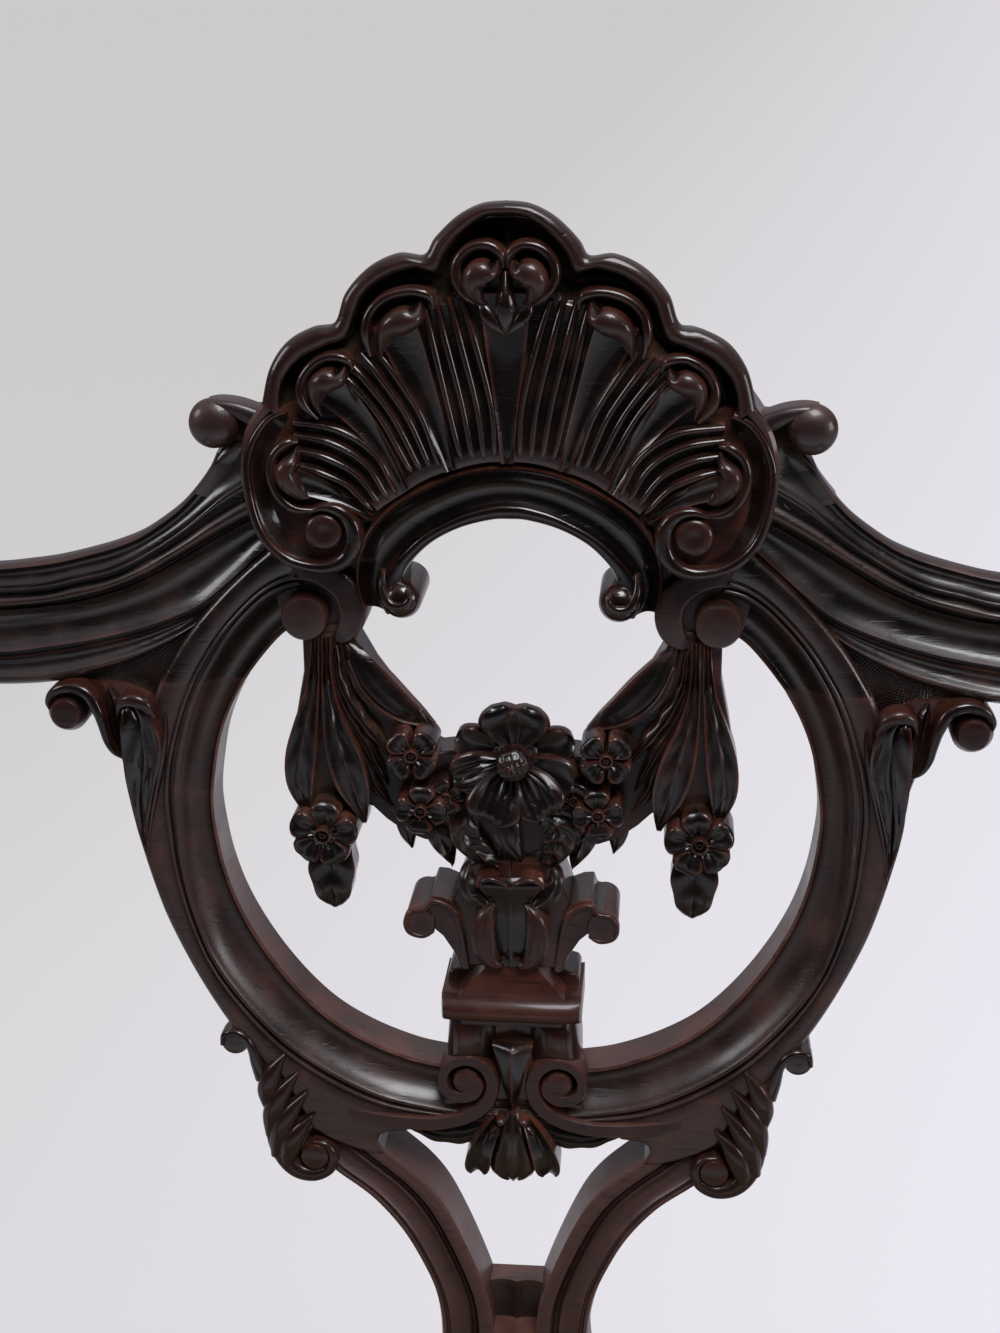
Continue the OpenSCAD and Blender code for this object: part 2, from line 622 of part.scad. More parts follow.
function leg_outline() = let (low = ankle_w / 2, c = ankle_mid) clean(concat(
    [[0, seat_h]],
    curve([[0, rail_z + 4], [-0.5 * knee_out, rail_z - 16], [-knee_out, rail_z - 46],
        [-0.75 * knee_out, rail_z - 76], [-2, rail_z * 0.68], [11, rail_z * 0.53], [c - low - 3, rail_z * 0.38],
        [c - low, rail_z * 0.27], [c - low - 4, rail_z * 0.19], [c - low - 9, rail_z * 0.13]], 3),
    [[c - low - 2, ball_z], [c + low - 8, ball_z]],
    curve([[c + low - 6, rail_z * 0.13], [c + low, rail_z * 0.2], [c + low, rail_z * 0.3],
        [c + low - 6, rail_z * 0.45], [post_w - 9, rail_z * 0.65], [post_w - 6, rail_z * 0.82],
        [post_w, rail_z - 4]], 3),
    [[post_w, seat_h]]));
// A ball of flat faces, cut level with the floor
module ball_foot() let (low = -asin(ball_z / ball_r), steps = 7) translate([toe - front_w / 2, toe, ball_z])
    loft([for (i = [0:steps - 1]) let (lat = low + (88 - low) * i / steps) [for (k = [0:ball_sides - 1])
        let (a = 360 * k / ball_sides) ball_r * [cos(lat) * cos(a), cos(lat) * sin(a), sin(lat)]]]);
module leg_blank() {
    intersection() {
        translate([-front_w / 2, 0, 0]) from_front(-100, 200) polygon(leg_outline());
        from_side(-front_w / 2 - 100, 200 - front_w / 2) polygon(leg_outline());
        // The post's outer face follows the side rail
        plan(0, seat_h) polygon([[-front_w / 2 - knee_out - 5, -100], [-front_w / 2 - knee_out - 5, post_w],
            [-inner_x(post_w, 0) - knee_out, post_w], [-inner_x(post_w, 0) - knee_out, 200],
            [0, 200], [0, -100]]);
    }
    ball_foot();
}

module front_leg(side) placed() color(mahogany) on_side(side) difference() {
    leg_blank();
    seat_well();
    // The post's outer face is planed to the side rail's line
    plan(rail_z - 1, seat_h + 1) polygon([[-front_w / 2 - 1, -1], [-side_x(-1), -1],
        [-side_x(post_w + 1), post_w + 1], [-front_w / 2 - 1, post_w + 1]]);
    side_rail_tenons(joint_gap);
    front_rail_tenon(joint_gap);
    peg_holes();
}

function bracket_outline() = clean(concat([[-1, 0], [bracket_l, 0], [bracket_l, -6]],
    arc([bracket_l - 8, -7], 8, 0, -100, 4),
    curve([[bracket_l - 16, -9], [bracket_l * 0.5, -16], [bracket_l * 0.22, -32],
        [2, -bracket_h], [-14, -bracket_h - 2], [-14, -12]], 3), [[-1, -10]]));
module knee_bracket_front(side) placed() color(mahogany_light) on_side(side) difference() {
    from_front(front_y + 1, front_y + rail_t - 1) translate([post_w - front_w / 2, rail_z]) polygon(bracket_outline());
    leg_blank();
}
module knee_bracket_side(side) placed() color(mahogany_light) on_side(side) difference() {
    from_side(1 - side_x(post_w), rail_t - 3 - side_x(post_w)) translate([post_w, rail_z])
        polygon(bracket_outline());
    leg_blank();
}

// Corner blocks and their screws

module corner_block_front(side) placed() color(beech) on_side(side) difference() {
    x0 = post_w - front_w / 2;
    y0 = front_y + rail_t;
    plan(block_z, block_z + block_h) polygon([[x0, y0], [x0 + block_l - 10, y0],
        [-inner_x(post_w + block_l - 10, rail_t), post_w + block_l - 10],
        [-inner_x(post_w, rail_t), post_w], [x0, post_w]]);
    block_screw_holes();
}
module corner_block_rear(side) placed() color(beech) on_side(side) difference() {
    plan(block_z, block_z + block_h) polygon([[-inner_x(stile_y, rail_t), stile_y],
        [-inner_x(stile_y - block_l, rail_t), stile_y - block_l],
        [-stile_in + block_l, back_rail_y], [-stile_in, back_rail_y], [-stile_in, stile_y]]);
    block_screw_holes();
}
module screw(gap, l) {
    translate([0, 0, -gap]) cylinder(r = screw_r + gap, h = l + 2 * gap, $fn = 6);
    translate([0, 0, -2 - gap]) cylinder(r = screw_head_r + gap, h = 3 + 2 * gap, $fn = 8);
}
// Each screw runs square into a rail
module block_screw_set(gap) {
    z = block_z + block_h / 2;
    back = block_reach;
    translate([post_w - front_w / 2 + screw_in, front_y + rail_t + back, z]) rotate([90, 0, 0]) screw(gap, screw_l);
    translate([-inner_x(post_w + screw_in, rail_t) + back, post_w + screw_in, z + screw_up]) rotate([0, -90, 0])
        screw(gap, screw_l);
    translate([-stile_in + screw_in, back_rail_y - back, z]) rotate([-90, 0, 0]) screw(gap, screw_l);
    translate([-inner_x(stile_y - screw_in, rail_t) + back, stile_y - screw_in, z + screw_up]) rotate([0, -90, 0])
        screw(gap, screw_l);
}
module head_way() cylinder(r = screw_head_r + 0.5, h = block_l, $fn = 8);
module block_screw_holes() {
    block_screw_set(0.05);
    // Clearance for the heads, out of the blocks
    z = block_z + block_h / 2;
    back = block_reach + 1.9;
    translate([post_w - front_w / 2 + screw_in, front_y + rail_t + back, z]) rotate([-90, 0, 0]) head_way();
    translate([-inner_x(post_w + screw_in, rail_t) + back, post_w + screw_in, z + screw_up]) rotate([0, 90, 0])
        head_way();
    translate([-stile_in + screw_in, back_rail_y - back, z]) rotate([90, 0, 0]) head_way();
    translate([-inner_x(stile_y - screw_in, rail_t) + back, stile_y - screw_in, z + screw_up]) rotate([0, 90, 0])
        head_way();
}
module block_screws() placed() color(steel) for (side = [-1, 1]) on_side(side) block_screw_set(0);

// Pegs: one through the front rail's tenon and one through each end of the side rail's

module peg(gap, l) translate([0, 0, -gap]) cylinder(r = peg_r + gap, h = l + 2 * gap, $fn = 12);
module peg_set(gap) {
    z = rail_z + rail_h * 0.42;
    translate([post_w - front_w / 2 - peg_in, 0, z]) rotate([-90, 0, 0]) peg(gap, 20);
    translate([-side_x(post_w - peg_in), post_w - peg_in, z]) rotate([0, 90, 0])
        translate([0, 0, 0.5]) peg(gap, 22);
    translate([-stile_out, stile_y + peg_in, z]) rotate([0, 90, 0])
        translate([0, 0, 0.2]) peg(gap, 22);
}
module peg_holes() peg_set(0.05);
module tenon_pegs() placed() color(mahogany_light) for (side = [-1, 1]) on_side(side) peg_set(0);

// Arms, sawn to a plan and to a side outline

arm_joint_y = back_pt(level(arm_h + arm_rise - arm_t / 2), 0)[0];
hand = [arm_set + 22, arm_h - 22];
function arm_side() = clean(concat(
    curve([[arm_joint_y + 30, arm_h + arm_rise + 2], [arm_joint_y - 60, arm_h + arm_rise * 0.45],
        [arm_joint_y - 150, arm_h - 6], [arm_joint_y - 240, arm_h - 10], [arm_set + 78, arm_h - 4],
        [arm_set + 40, arm_h - 0.5]], 3),
    arc(hand, 22, 90, 300, 9),
    curve([[arm_set + 46, arm_h - arm_t - 7], [arm_set + 78, arm_h - arm_t - 4],
        [arm_joint_y - 240, arm_h - arm_t - 9], [arm_joint_y - 150, arm_h - arm_t - 5],
        [arm_joint_y - 60, arm_h - arm_t + arm_rise * 0.45], [arm_joint_y + 30, arm_h - arm_t + arm_rise + 2]], 3)));
function arm_centre() = let (bow = front_w / 2 - arm_w / 2 + arm_bow, stile = (stile_in + stile_out) / 2) [
    [-stile, arm_joint_y + 30], [-stile - 3, arm_joint_y - 10],
    [-stile - (bow - stile) * 0.62, arm_joint_y - 70], [-stile - (bow - stile) * 0.945, arm_joint_y - 150],
    [-bow, arm_set + 150], [-bow + 5, arm_set + 80], [-bow + 15.5, arm_set + 36], [-bow + 24, arm_set - 4]];
function arm_edge(p, i, last, side) = p[i] + side * arm_w / 2 * arm_swell(i / last) * side_step(p, i);
function arm_plan() = let (p = curve(arm_centre(), 3), last = len(p) - 1) clean(concat(
    [for (i = [0:last]) arm_edge(p, i, last, 1)], [for (i = [last:-1:0]) arm_edge(p, i, last, -1)]));
// An arm is narrow at the rear leg and wide at the hand
function arm_swell(t) = 0.82 + 0.18 * sin(min(t * 220, 90)) + (t > 0.8 ? (t - 0.8) * 0.8 : 0);

module arm_blank() intersection() {
    from_side(-front_w, 0) polygon(arm_side());
    plan(arm_h - 100, arm_h + 100) polygon(arm_plan());
}
module arm(side) placed() color(mahogany) on_side(side) difference() {
    arm_blank();
    from_side(-front_w, 0) polygon([back_pt(0, 0), [stile_y, seat_h], [seat_d * 2, seat_h],
        [seat_d * 2, back_z]]);
    support_dowel(0.1);
    arm_screw_hole();
}

// Arm supports: let into the side rail below and tenoned into the arm above

function support_side() = let (y0 = support_set, y1 = support_set + support_w, mid = (seat_h + arm_h) / 2)
    clean(concat([[y1, rail_z + 8]],
    curve([[y1, seat_h], [y1 + 9, seat_h + 34], [y1 + 16, mid - 40], [y1 + 4, mid + 10],
        [y1 - 18, mid + 60], [y1 - 24, arm_h - 36], [y1 - 22, arm_h - 10]], 3),
    curve([[y0 - 22, arm_h - 10], [y0 - 24, arm_h - 36], [y0 - 10, mid + 56], [y0 + 10, mid + 8],
        [y0 + 16, mid - 36], [y0 + 8, seat_h + 34], [y0, seat_h]], 3), [[y0, rail_z + 8]]));
function support_front() = let (x0 = side_x(support_set + support_w / 2), bow = front_w / 2 + arm_bow,
        mid = (seat_h + arm_h) / 2) clean(concat([[-x0 - support_proud, rail_z + 8]],
    curve([[-x0 - support_proud, seat_h], [-x0 - support_proud - 2, mid - 40], [-bow + 9, mid + 40],
        [-bow + 4, arm_h - 30], [-bow + 4, arm_h - 10]], 3),
    curve([[-bow + arm_w - 4, arm_h - 10], [-bow + arm_w - 4, arm_h - 30], [-bow + arm_w + 2, mid + 40],
        [-x0 + housing, mid - 40], [-x0 + housing, seat_h]], 3), [[-x0 + housing, rail_z + 8]]));
module support_blank() intersection() {
    from_side(-front_w, 0) polygon(support_side());
    from_front(0, seat_d) polygon(support_front());
}
module support_foot(gap) {
    x0 = side_x(support_set + support_w / 2);
    box([-x0 - 40, support_set - gap, rail_z + 8 - gap],
        [-x0 + housing + gap, support_set + support_w + gap, seat_h + 1]);
}
module support_dowel(gap) translate([-front_w / 2 - arm_bow + arm_w / 2, support_set + support_w / 2 - 23,
    arm_h - arm_t - 14]) cylinder(r = dowel_r + gap, h = 10 + dowel_l - 5 + gap);
module arm_support(side) placed() color(mahogany) on_side(side) difference() {
    union() {
        difference() {
            support_blank();
            arm_blank();
        }
        support_dowel(0);
    }
    support_screw_holes();
}
module support_screw_set(gap) {
    x0 = side_x(support_set + support_w / 2) - rail_t;
    for (z = [rail_z + 22, rail_z + 44]) translate([-x0 + 1.5, support_set + support_w / 2, z])
        rotate([0, -90, 0]) screw(gap, screw_l - 6);
}
module support_screw_holes() support_screw_set(0.05);
module arm_support_screws() placed() color(steel) for (side = [-1, 1]) on_side(side) support_screw_set(0);

// A screw through each rear leg into the arm's end, under a wooden plug

arm_screw_z = arm_h + arm_rise - arm_t / 2 - 4;
arm_screw_back = 32;
module arm_screw_frame() translate([-(stile_in + stile_out) / 2, back_pt(level(arm_screw_z), 0)[0], arm_screw_z])
    rotate([90 - recline, 0, 0]) children();
module arm_screw_set(gap) arm_screw_frame() translate([0, 0, -26]) screw(gap, 46);
module arm_screw_hole() {
    arm_screw_set(0.05);
    arm_screw_frame() translate([0, 0, -70]) cylinder(r = plug_r + 0.05, h = 70 - 28.1, $fn = 12);
}
module arm_screws() placed() color(steel) for (side = [-1, 1]) on_side(side) arm_screw_set(0);
module arm_screw_plugs() placed() color(mahogany_light) for (side = [-1, 1]) on_side(side)
    arm_screw_frame() translate([0, 0, -28.2 - plug_t]) cylinder(r = plug_r, h = plug_t, $fn = 12);

// The drop-in seat: a wooden frame, webbing, hessian, stuffing and cover

frame_z = ledge_z + soft_gap + cover_t;
frame_edge = seat_gap + cover_t + fold_gap;
frame_y0 = lip + frame_edge;
frame_y1 = stile_y - frame_edge;
function frame_x(y, inside) = inner_x(y, lip + frame_edge + inside);
seat_tenon_l = 24;
module seat_tenons(gap) plan(frame_z + frame_t / 3 - gap, frame_z + frame_t * 2 / 3 + gap)
    for (end = [[frame_y0 + frame_w - seat_tenon_l, frame_y0 + frame_w + 1],
            [frame_y1 - frame_w - 1, frame_y1 - frame_w + seat_tenon_l]])
        polygon([[-frame_x(end[0], 10 - gap), end[0] - gap], [-frame_x(end[1], 10 - gap), end[1] + gap],
            [-frame_x(end[1], frame_w - 10 + gap), end[1] + gap], [-frame_x(end[0], frame_w - 10 + gap), end[0] - gap]]);
module frame_cross(y0, y1) difference() {
    plan(frame_z, frame_z + frame_t) intersection() {
        polygon([[-front_w, y0], [front_w, y0], [front_w, y1], [-front_w, y1]]);
        polygon(clean(pad_outline(frame_edge, corner_r)));
    }
    for (side = [-1, 1]) on_side(side) seat_tenons(joint_gap);
}
module seat_frame_front() placed() color(beech) frame_cross(frame_y0, frame_y0 + frame_w);
module seat_frame_back() placed() color(beech) frame_cross(frame_y1 - frame_w, frame_y1);
module seat_frame_side(side) placed() color(beech) on_side(side) {
    y0 = frame_y0 + frame_w;
    y1 = frame_y1 - frame_w;
    plan(frame_z, frame_z + frame_t) polygon([[-frame_x(y0, 0), y0], [-frame_x(y1, 0), y1],
        [-frame_x(y1, frame_w), y1], [-frame_x(y0, frame_w), y0]]);
    difference() {
        seat_tenons(0);
        box([-front_w, y0, 0], [0, y1, seat_h * 2]);
    }
}

web_z = frame_z + frame_t;
hessian_z = web_z + 2 * strap_t;
stuffing_z = hessian_z + hessian_t;
module seat_webbing() placed() color(jute) {
    mid = (frame_y0 + frame_y1) / 2;
    for (i = [-2:2]) plan(web_z, web_z + strap_t) polygon([[i * 86 - strap_w / 2, frame_y0 + 12],
        [i * 86 + strap_w / 2, frame_y0 + 12], [i * 86 + strap_w / 2, frame_y1 - 12],
        [i * 86 - strap_w / 2, frame_y1 - 12]]);
    for (i = [-1.5:1:1.5]) let (y = mid + i * 84, x = frame_x(y + strap_w / 2, 12))
        plan(web_z + strap_t, hessian_z) polygon([[-x, y - strap_w / 2], [x, y - strap_w / 2],
            [x, y + strap_w / 2], [-x, y + strap_w / 2]]);
}
module seat_hessian() placed() color(jute) plan(hessian_z, stuffing_z) {
    polygon([[-frame_x(frame_y0 + 6, 6), frame_y0 + 6], [frame_x(frame_y0 + 6, 6), frame_y0 + 6],
        [frame_x(frame_y1 - 6, 6), frame_y1 - 6], [-frame_x(frame_y1 - 6, 6), frame_y1 - 6]]);
}

// The seat's outline with round corners, as a ring of points drawn towards its centre
pad_steps = 4;
edge_steps = 4;
seat_mid = (lip + stile_y) / 2;
function between(a, b, steps) = [for (i = [1:steps - 1]) a + (b - a) * i / steps];
function pad_outline(inset, r) = let (w = well(inset), q = 90,
        a = arc([w[0][0] + r, w[0][1] + r], r, 180, 270, pad_steps),
        b = arc([w[1][0] - r, w[1][1] + r], r, 270, 360, pad_steps),
        c = arc([w[2][0] - r, w[2][1] - r], r, 0, 90, pad_steps),
        d = arc([w[3][0] + r, w[3][1] - r], r, 90, 180, pad_steps))
    concat(a, between(a[pad_steps], b[0], edge_steps), b, between(b[pad_steps], c[0], edge_steps),
        c, between(c[pad_steps], d[0], edge_steps), d, between(d[pad_steps], a[0], edge_steps));
function pad_ring(inset, share, z) = [for (p = pad_outline(inset, corner_r))
    [p[0] * share, seat_mid + (p[1] - seat_mid) * share, z]];
// A closed solid through rings of equal count, with a point at the middle of each end
module loft(rings) {
    n = len(rings[0]);
    m = len(rings);
    function centre(r) = [for (k = [0:2]) (max([for (p = r) p[k]]) + min([for (p = r) p[k]])) / 2];
    pts = concat([for (r = rings) for (p = r) p], [centre(rings[0]), centre(rings[m - 1])]);
    polyhedron(points = pts, faces = concat(
        [for (i = [0:n - 1]) [m * n, i, (i + 1) % n]],
        [for (k = [0:m - 2]) for (i = [0:n - 1]) for (s = [0, 1]) let (a = k * n + i,
            b = k * n + (i + 1) % n, c = b + n, d = a + n) s == 0 ? [a, d, c] : [a, c, b]],
        [for (i = [0:n - 1]) [m * n + 1, (m - 1) * n + (i + 1) % n, (m - 1) * n + i]]));
}
// Rise of the crown at a share of the way from the seat's middle to its edge
function crown(share) = crown_h * (1 - pow(share, 2.4));
shares = [0.985, 0.95, 0.88, 0.78, 0.64, 0.48, 0.3, 0.12];
// The drawn-in side: straight in the well, a little fuller over the lip, then over the crown
function pad_rings(inset, low, lift) = concat(
    [pad_ring(seat_gap + inset, 1, low), pad_ring(seat_gap + inset, 1, seat_h),
        pad_ring(seat_gap + inset - fuller, 1, seat_h + 6 + lift),
        pad_ring(seat_gap + inset - fuller / 2, 1, seat_h + 11 + lift)],
    [for (s = shares) pad_ring(seat_gap + inset, s, seat_h + 12 + lift + crown(s))]);
module seat_stuffing() placed() color(hair) difference() {
    loft(pad_rings(2 * cover_t, frame_z, -cover_t));
    plan(0, stuffing_z) polygon(well(-lip));
}
module seat_cover() placed() color(damask) difference() {
    loft(pad_rings(0, ledge_z + soft_gap, 0));
    difference() {
        loft(pad_rings(cover_t, ledge_z + soft_gap - 5, -cover_t));
        difference() {
            plan(0, frame_z) polygon(well(-lip));
            plan(0, frame_z + 1) polygon(well(frame_edge + 8));
        }
    }
}
module seat_bottom_cloth() placed() color(black_cloth)
    plan(frame_z - 1, frame_z) polygon(well(frame_edge + 16));
module seat_tacks() placed() color(steel) {
    count_x = 7;
    count_y = 5;
    z = frame_z - 2;
    for (i = [0:count_x - 1]) for (edge = [frame_y0 + 22, frame_y1 - 22])
        translate([frame_x(edge, 70) * (2 * i / (count_x - 1) - 1), edge, z]) cylinder(r = 3, h = 1, $fn = 6);
    for (i = [1:count_y]) for (side = [-1, 1]) let (y = frame_y0 + (frame_y1 - frame_y0) * i / (count_y + 1))
        translate([side * frame_x(y, 22), y, z]) cylinder(r = 3, h = 1, $fn = 6);
}

crest_rail();
crest_shell();
back_splat();
splat_bracket(-1);  // splat_bracket_left
splat_bracket(1);  // splat_bracket_right
splat_scroll(-1);  // splat_scroll_left
splat_scroll(1);  // splat_scroll_right
flower_garland();
garland_pedestal();
palmette_drop();
splat_shoe();
rear_leg(-1);  // rear_leg_left
rear_leg(1);  // rear_leg_right
front_leg(-1);  // front_leg_left
front_leg(1);  // front_leg_right
knee_bracket_front(-1);  // knee_bracket_left_front
knee_bracket_side(-1);  // knee_bracket_left_side
knee_bracket_front(1);  // knee_bracket_right_front
knee_bracket_side(1);  // knee_bracket_right_side
front_seat_rail();
back_seat_rail();
side_rail(-1);  // left_seat_rail
side_rail(1);  // right_seat_rail
corner_block_front(-1);  // corner_block_front_left
corner_block_front(1);  // corner_block_front_right
corner_block_rear(-1);  // corner_block_rear_left
corner_block_rear(1);  // corner_block_rear_right
block_screws();
tenon_pegs();
arm(-1);  // arm_left
arm(1);  // arm_right
arm_support(-1);  // arm_support_left
arm_support(1);  // arm_support_right
arm_support_screws();
arm_screws();
arm_screw_plugs();
seat_frame_front();
seat_frame_back();
seat_frame_side(-1);  // seat_frame_left
seat_frame_side(1);  // seat_frame_right
seat_webbing();
seat_hessian();
seat_stuffing();
seat_cover();
seat_bottom_cloth();
seat_tacks();
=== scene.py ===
"""Looks of the carved armchair: carving, polish and upholstery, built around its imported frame."""

import json
import logging
import math
from dataclasses import dataclass
from enum import Enum
from typing import Callable, Optional, Sequence

import bmesh
import bpy
import numpy as np
from mathutils import Matrix, Vector

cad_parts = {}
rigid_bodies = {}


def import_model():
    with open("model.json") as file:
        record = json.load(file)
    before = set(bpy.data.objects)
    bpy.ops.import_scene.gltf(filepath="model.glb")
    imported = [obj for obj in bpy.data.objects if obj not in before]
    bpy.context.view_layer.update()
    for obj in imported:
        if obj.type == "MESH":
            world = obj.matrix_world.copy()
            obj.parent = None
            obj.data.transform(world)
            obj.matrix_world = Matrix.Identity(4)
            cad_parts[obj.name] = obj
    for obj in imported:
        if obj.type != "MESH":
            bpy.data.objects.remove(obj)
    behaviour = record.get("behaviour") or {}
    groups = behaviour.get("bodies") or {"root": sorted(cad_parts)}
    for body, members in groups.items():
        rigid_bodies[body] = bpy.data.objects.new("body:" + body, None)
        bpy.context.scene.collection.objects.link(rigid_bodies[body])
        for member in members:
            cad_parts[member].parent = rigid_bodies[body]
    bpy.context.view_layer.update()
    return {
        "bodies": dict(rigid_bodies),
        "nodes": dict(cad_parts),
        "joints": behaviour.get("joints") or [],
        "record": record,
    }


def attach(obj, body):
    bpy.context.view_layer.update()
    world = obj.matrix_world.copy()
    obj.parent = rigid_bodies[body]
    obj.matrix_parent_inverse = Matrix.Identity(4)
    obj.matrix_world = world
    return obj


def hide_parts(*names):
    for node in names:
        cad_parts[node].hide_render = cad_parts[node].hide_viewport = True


log = logging.getLogger("armchair")

MM = 0.001
BODY = "chair_frame"
SEAT = "drop_in_seat"
RECLINE = math.radians(11)
BACK_Y = 521.078
BACK_Z = 867.69
MID_Y = 282.75
BACK = -27.0
SPIRAL_STEPS = 26
CUSHION_EDGE = 0.4405
STRAP_LEVEL = 437.2
SENSOR = 36.0

Grid = np.ndarray
Points = Sequence[Sequence[float]]
Page = Callable[[Grid, Grid, Grid], Grid]
Thing = bpy.types.Object
Tree = bpy.types.NodeTree
Node = bpy.types.Node
Socket = bpy.types.NodeSocket
Material = bpy.types.Material
Colour = tuple[float, float, float, float]
Pair = tuple[float, float]


# Places on the chair

def on_back(u: Grid, v: Grid, n: Grid) -> Grid:
    """Turn places in the back's plane into places in the frame.

    Args:
        u: Millimetres across, to the right.
        v: Millimetres up the plane.
        n: Millimetres forward of the boards' face.

    Returns:
        Points in metres.
    """
    y = BACK_Y + v * math.sin(RECLINE) - n * math.cos(RECLINE) - MID_Y
    z = BACK_Z + v * math.cos(RECLINE) + n * math.sin(RECLINE)
    return np.stack([u + 0.0 * v, y + 0.0 * u, z + 0.0 * u], axis=-1) * MM


def in_chair(x: Grid, y: Grid, z: Grid) -> Grid:
    """Turn millimetres from the seat's front edge and the floor into places in the frame."""
    return np.stack([x + 0.0 * y, y - MID_Y + 0.0 * x, z + 0.0 * x], axis=-1) * MM


def one_shape(*values: object) -> list[Grid]:
    """Spread numbers or arrays to one common shape."""
    return np.broadcast_arrays(*(np.asarray(value, float) for value in values))


def around(count: int) -> Grid:
    """Give so many angles once round a circle."""
    return np.linspace(0, 2 * np.pi, count, endpoint=False)


def curve(points: Points, count: int, even: bool = True) -> Grid:
    """Draw a smooth curve through given points.

    Args:
        points: Points of two or more coordinates.
        count: How many points to give back.
        even: Space them evenly by length, or evenly between the given points.

    Returns:
        One row for each point.
    """
    pts = np.asarray(points, float)
    t = np.linspace(0, 1, 12, endpoint=False)[:, None]
    last = len(pts) - 1
    parts = []
    for i in range(last):
        a, b, c, d = pts[max(i - 1, 0)], pts[i], pts[i + 1], pts[min(i + 2, last)]
        parts.append(0.5 *
            (2 * b + (c - a) * t + (2 * a - 5 * b + 4 * c - d) * t ** 2 + (3 * b - 3 * c + d - a) * t ** 3))
    dense = np.vstack(parts + [pts[-1:]])
    key = np.linspace(0, 1, len(dense))
    if even:
        steps = np.linalg.norm(np.diff(dense[:, :3], axis=0), axis=1)
        key = np.concatenate([[0], np.cumsum(steps)])
        key /= key[-1]
    want = np.linspace(0, 1, count)
    return np.stack([np.interp(want, key, dense[:, k]) for k in range(dense.shape[1])], axis=1)


def mirror_points(points: Points) -> list[tuple[float, ...]]:
    """Give the same points on the other side of the centre."""
    return [(-p[0], *p[1:]) for p in points]


# Tools of the bench

def deselect_all() -> None:
    """Leave nothing selected, so that the next operator acts on new work only."""
    if bpy.context.object and bpy.context.object.mode != "OBJECT":
        bpy.ops.object.mode_set(mode="OBJECT")
    bpy.ops.object.select_all(action="DESELECT")


def take(obj: Thing) -> None:
    """Select one object and make it the active one."""
    deselect_all()
    obj.select_set(True)
    bpy.context.view_layer.objects.active = obj


def clean_up(obj: Thing, merge: float = 0) -> None:
    """Merge an object's doubles where asked, and turn its faces outwards."""
    take(obj)
    bpy.ops.object.mode_set(mode="EDIT")
    bpy.ops.mesh.select_all(action="SELECT")
    if merge:
        bpy.ops.mesh.remove_doubles(threshold=merge)
    bpy.ops.mesh.normals_make_consistent(inside=False)
    bpy.ops.object.mode_set(mode="OBJECT")


def smooth(obj: Thing, angle: float = 38) -> None:
    """Shade an object smooth, with creases sharper than an angle in degrees."""
    take(obj)
    bpy.ops.object.shade_smooth_by_angle(angle=math.radians(angle))


def edited(obj: Thing) -> bmesh.types.BMesh:
    """Give the mesh that is being edited, with its points in order."""
    mesh = bmesh.from_edit_mesh(obj.data)
    mesh.verts.ensure_lookup_table()
    return mesh


def loft(rings: Sequence[Grid], caps: Sequence[bool] = (True, True), ring_closed: bool = False,
        crease: float = 38) -> Thing:
    """Extrude one ring of points through a row of rings.

    Args:
        rings: Points in metres, by ring and by place in the ring.
        caps: Whether the first and the last ring are closed with a face.
        ring_closed: Whether the last ring joins the first.
        crease: Angle in degrees from which an edge stays crisp.

    Returns:
        The finished object.
    """
    rings = list(rings) + list(rings[:1]) * ring_closed
    sides = len(rings[0])
    deselect_all()
    bpy.ops.mesh.primitive_circle_add(vertices=sides, radius=0.01)
    obj = bpy.context.object
    bpy.ops.object.mode_set(mode="EDIT")
    for i, ring in enumerate(rings):
        if i:
            bpy.ops.mesh.extrude_edges_move()
        mesh = edited(obj)
        for vert, place in zip(mesh.verts[-sides:], ring):
            vert.co = place
    if not ring_closed and caps[1]:
        bpy.ops.mesh.edge_face_add()
    if not ring_closed and caps[0]:
        bpy.ops.mesh.select_all(action="DESELECT")
        mesh = edited(obj)
        for vert in mesh.verts[:sides]:
            vert.select = True
        mesh.select_flush(True)
        bpy.ops.mesh.edge_face_add()
    bpy.ops.object.mode_set(mode="OBJECT")
    clean_up(obj, 1e-6 if ring_closed else 0)
    smooth(obj, crease)
    return obj


def rub(obj: Thing, shares: Optional[Grid] = None) -> Thing:
    """Mark a piece, or a share of each of its points, as rubbed to a warmer brown."""
    layer = obj.data.attributes.new("rubbed", "FLOAT", "POINT")
    layer.data.foreach_set("value", np.ones(len(obj.data.vertices)) if shares is None else shares)
    return obj


def join(name: str, pieces: Sequence[Thing], merge: float = 0) -> Thing:
    """Make several objects one mesh.

    Args:
        name: The name of the joined object.
        pieces: What is joined.
        merge: Doubles nearer than this many metres become one.

    Returns:
        The joined object.
    """
    take(pieces[0])
    for piece in pieces[1:]:
        piece.select_set(True)
    if len(pieces) > 1:
        bpy.ops.object.join()
    obj = bpy.context.view_layer.objects.active
    obj.name = name
    obj.data.name = name
    if merge:
        clean_up(obj, merge)
        smooth(obj)
    return obj


def copied(obj: Thing, move: Optional[Matrix] = None) -> Thing:
    """Copy an object with a mesh of its own, and move the copy's mesh where asked."""
    take(obj)
    bpy.ops.object.duplicate(linked=False)
    other = bpy.context.object
    if move is not None:
        other.data.transform(move)
    return other


def mirrored(obj: Thing) -> Thing:
    """Make the right-hand piece of a left-hand one, with faces outwards."""
    other = copied(obj)
    other.name = other.data.name = obj.name.replace("left", "right")
    other.scale.x = -1.0
    bpy.ops.object.transform_apply(location=False, rotation=False, scale=True)
    clean_up(other)
    return other


def both_sides(name: str, pieces: Sequence[Thing], merge: float = 0) -> Thing:
    """Join pieces of the left side with their mirror images, and merge doubles where asked."""
    left = join(name, pieces)
    return join(name, [left, mirrored(left)], merge)


# Mouldings

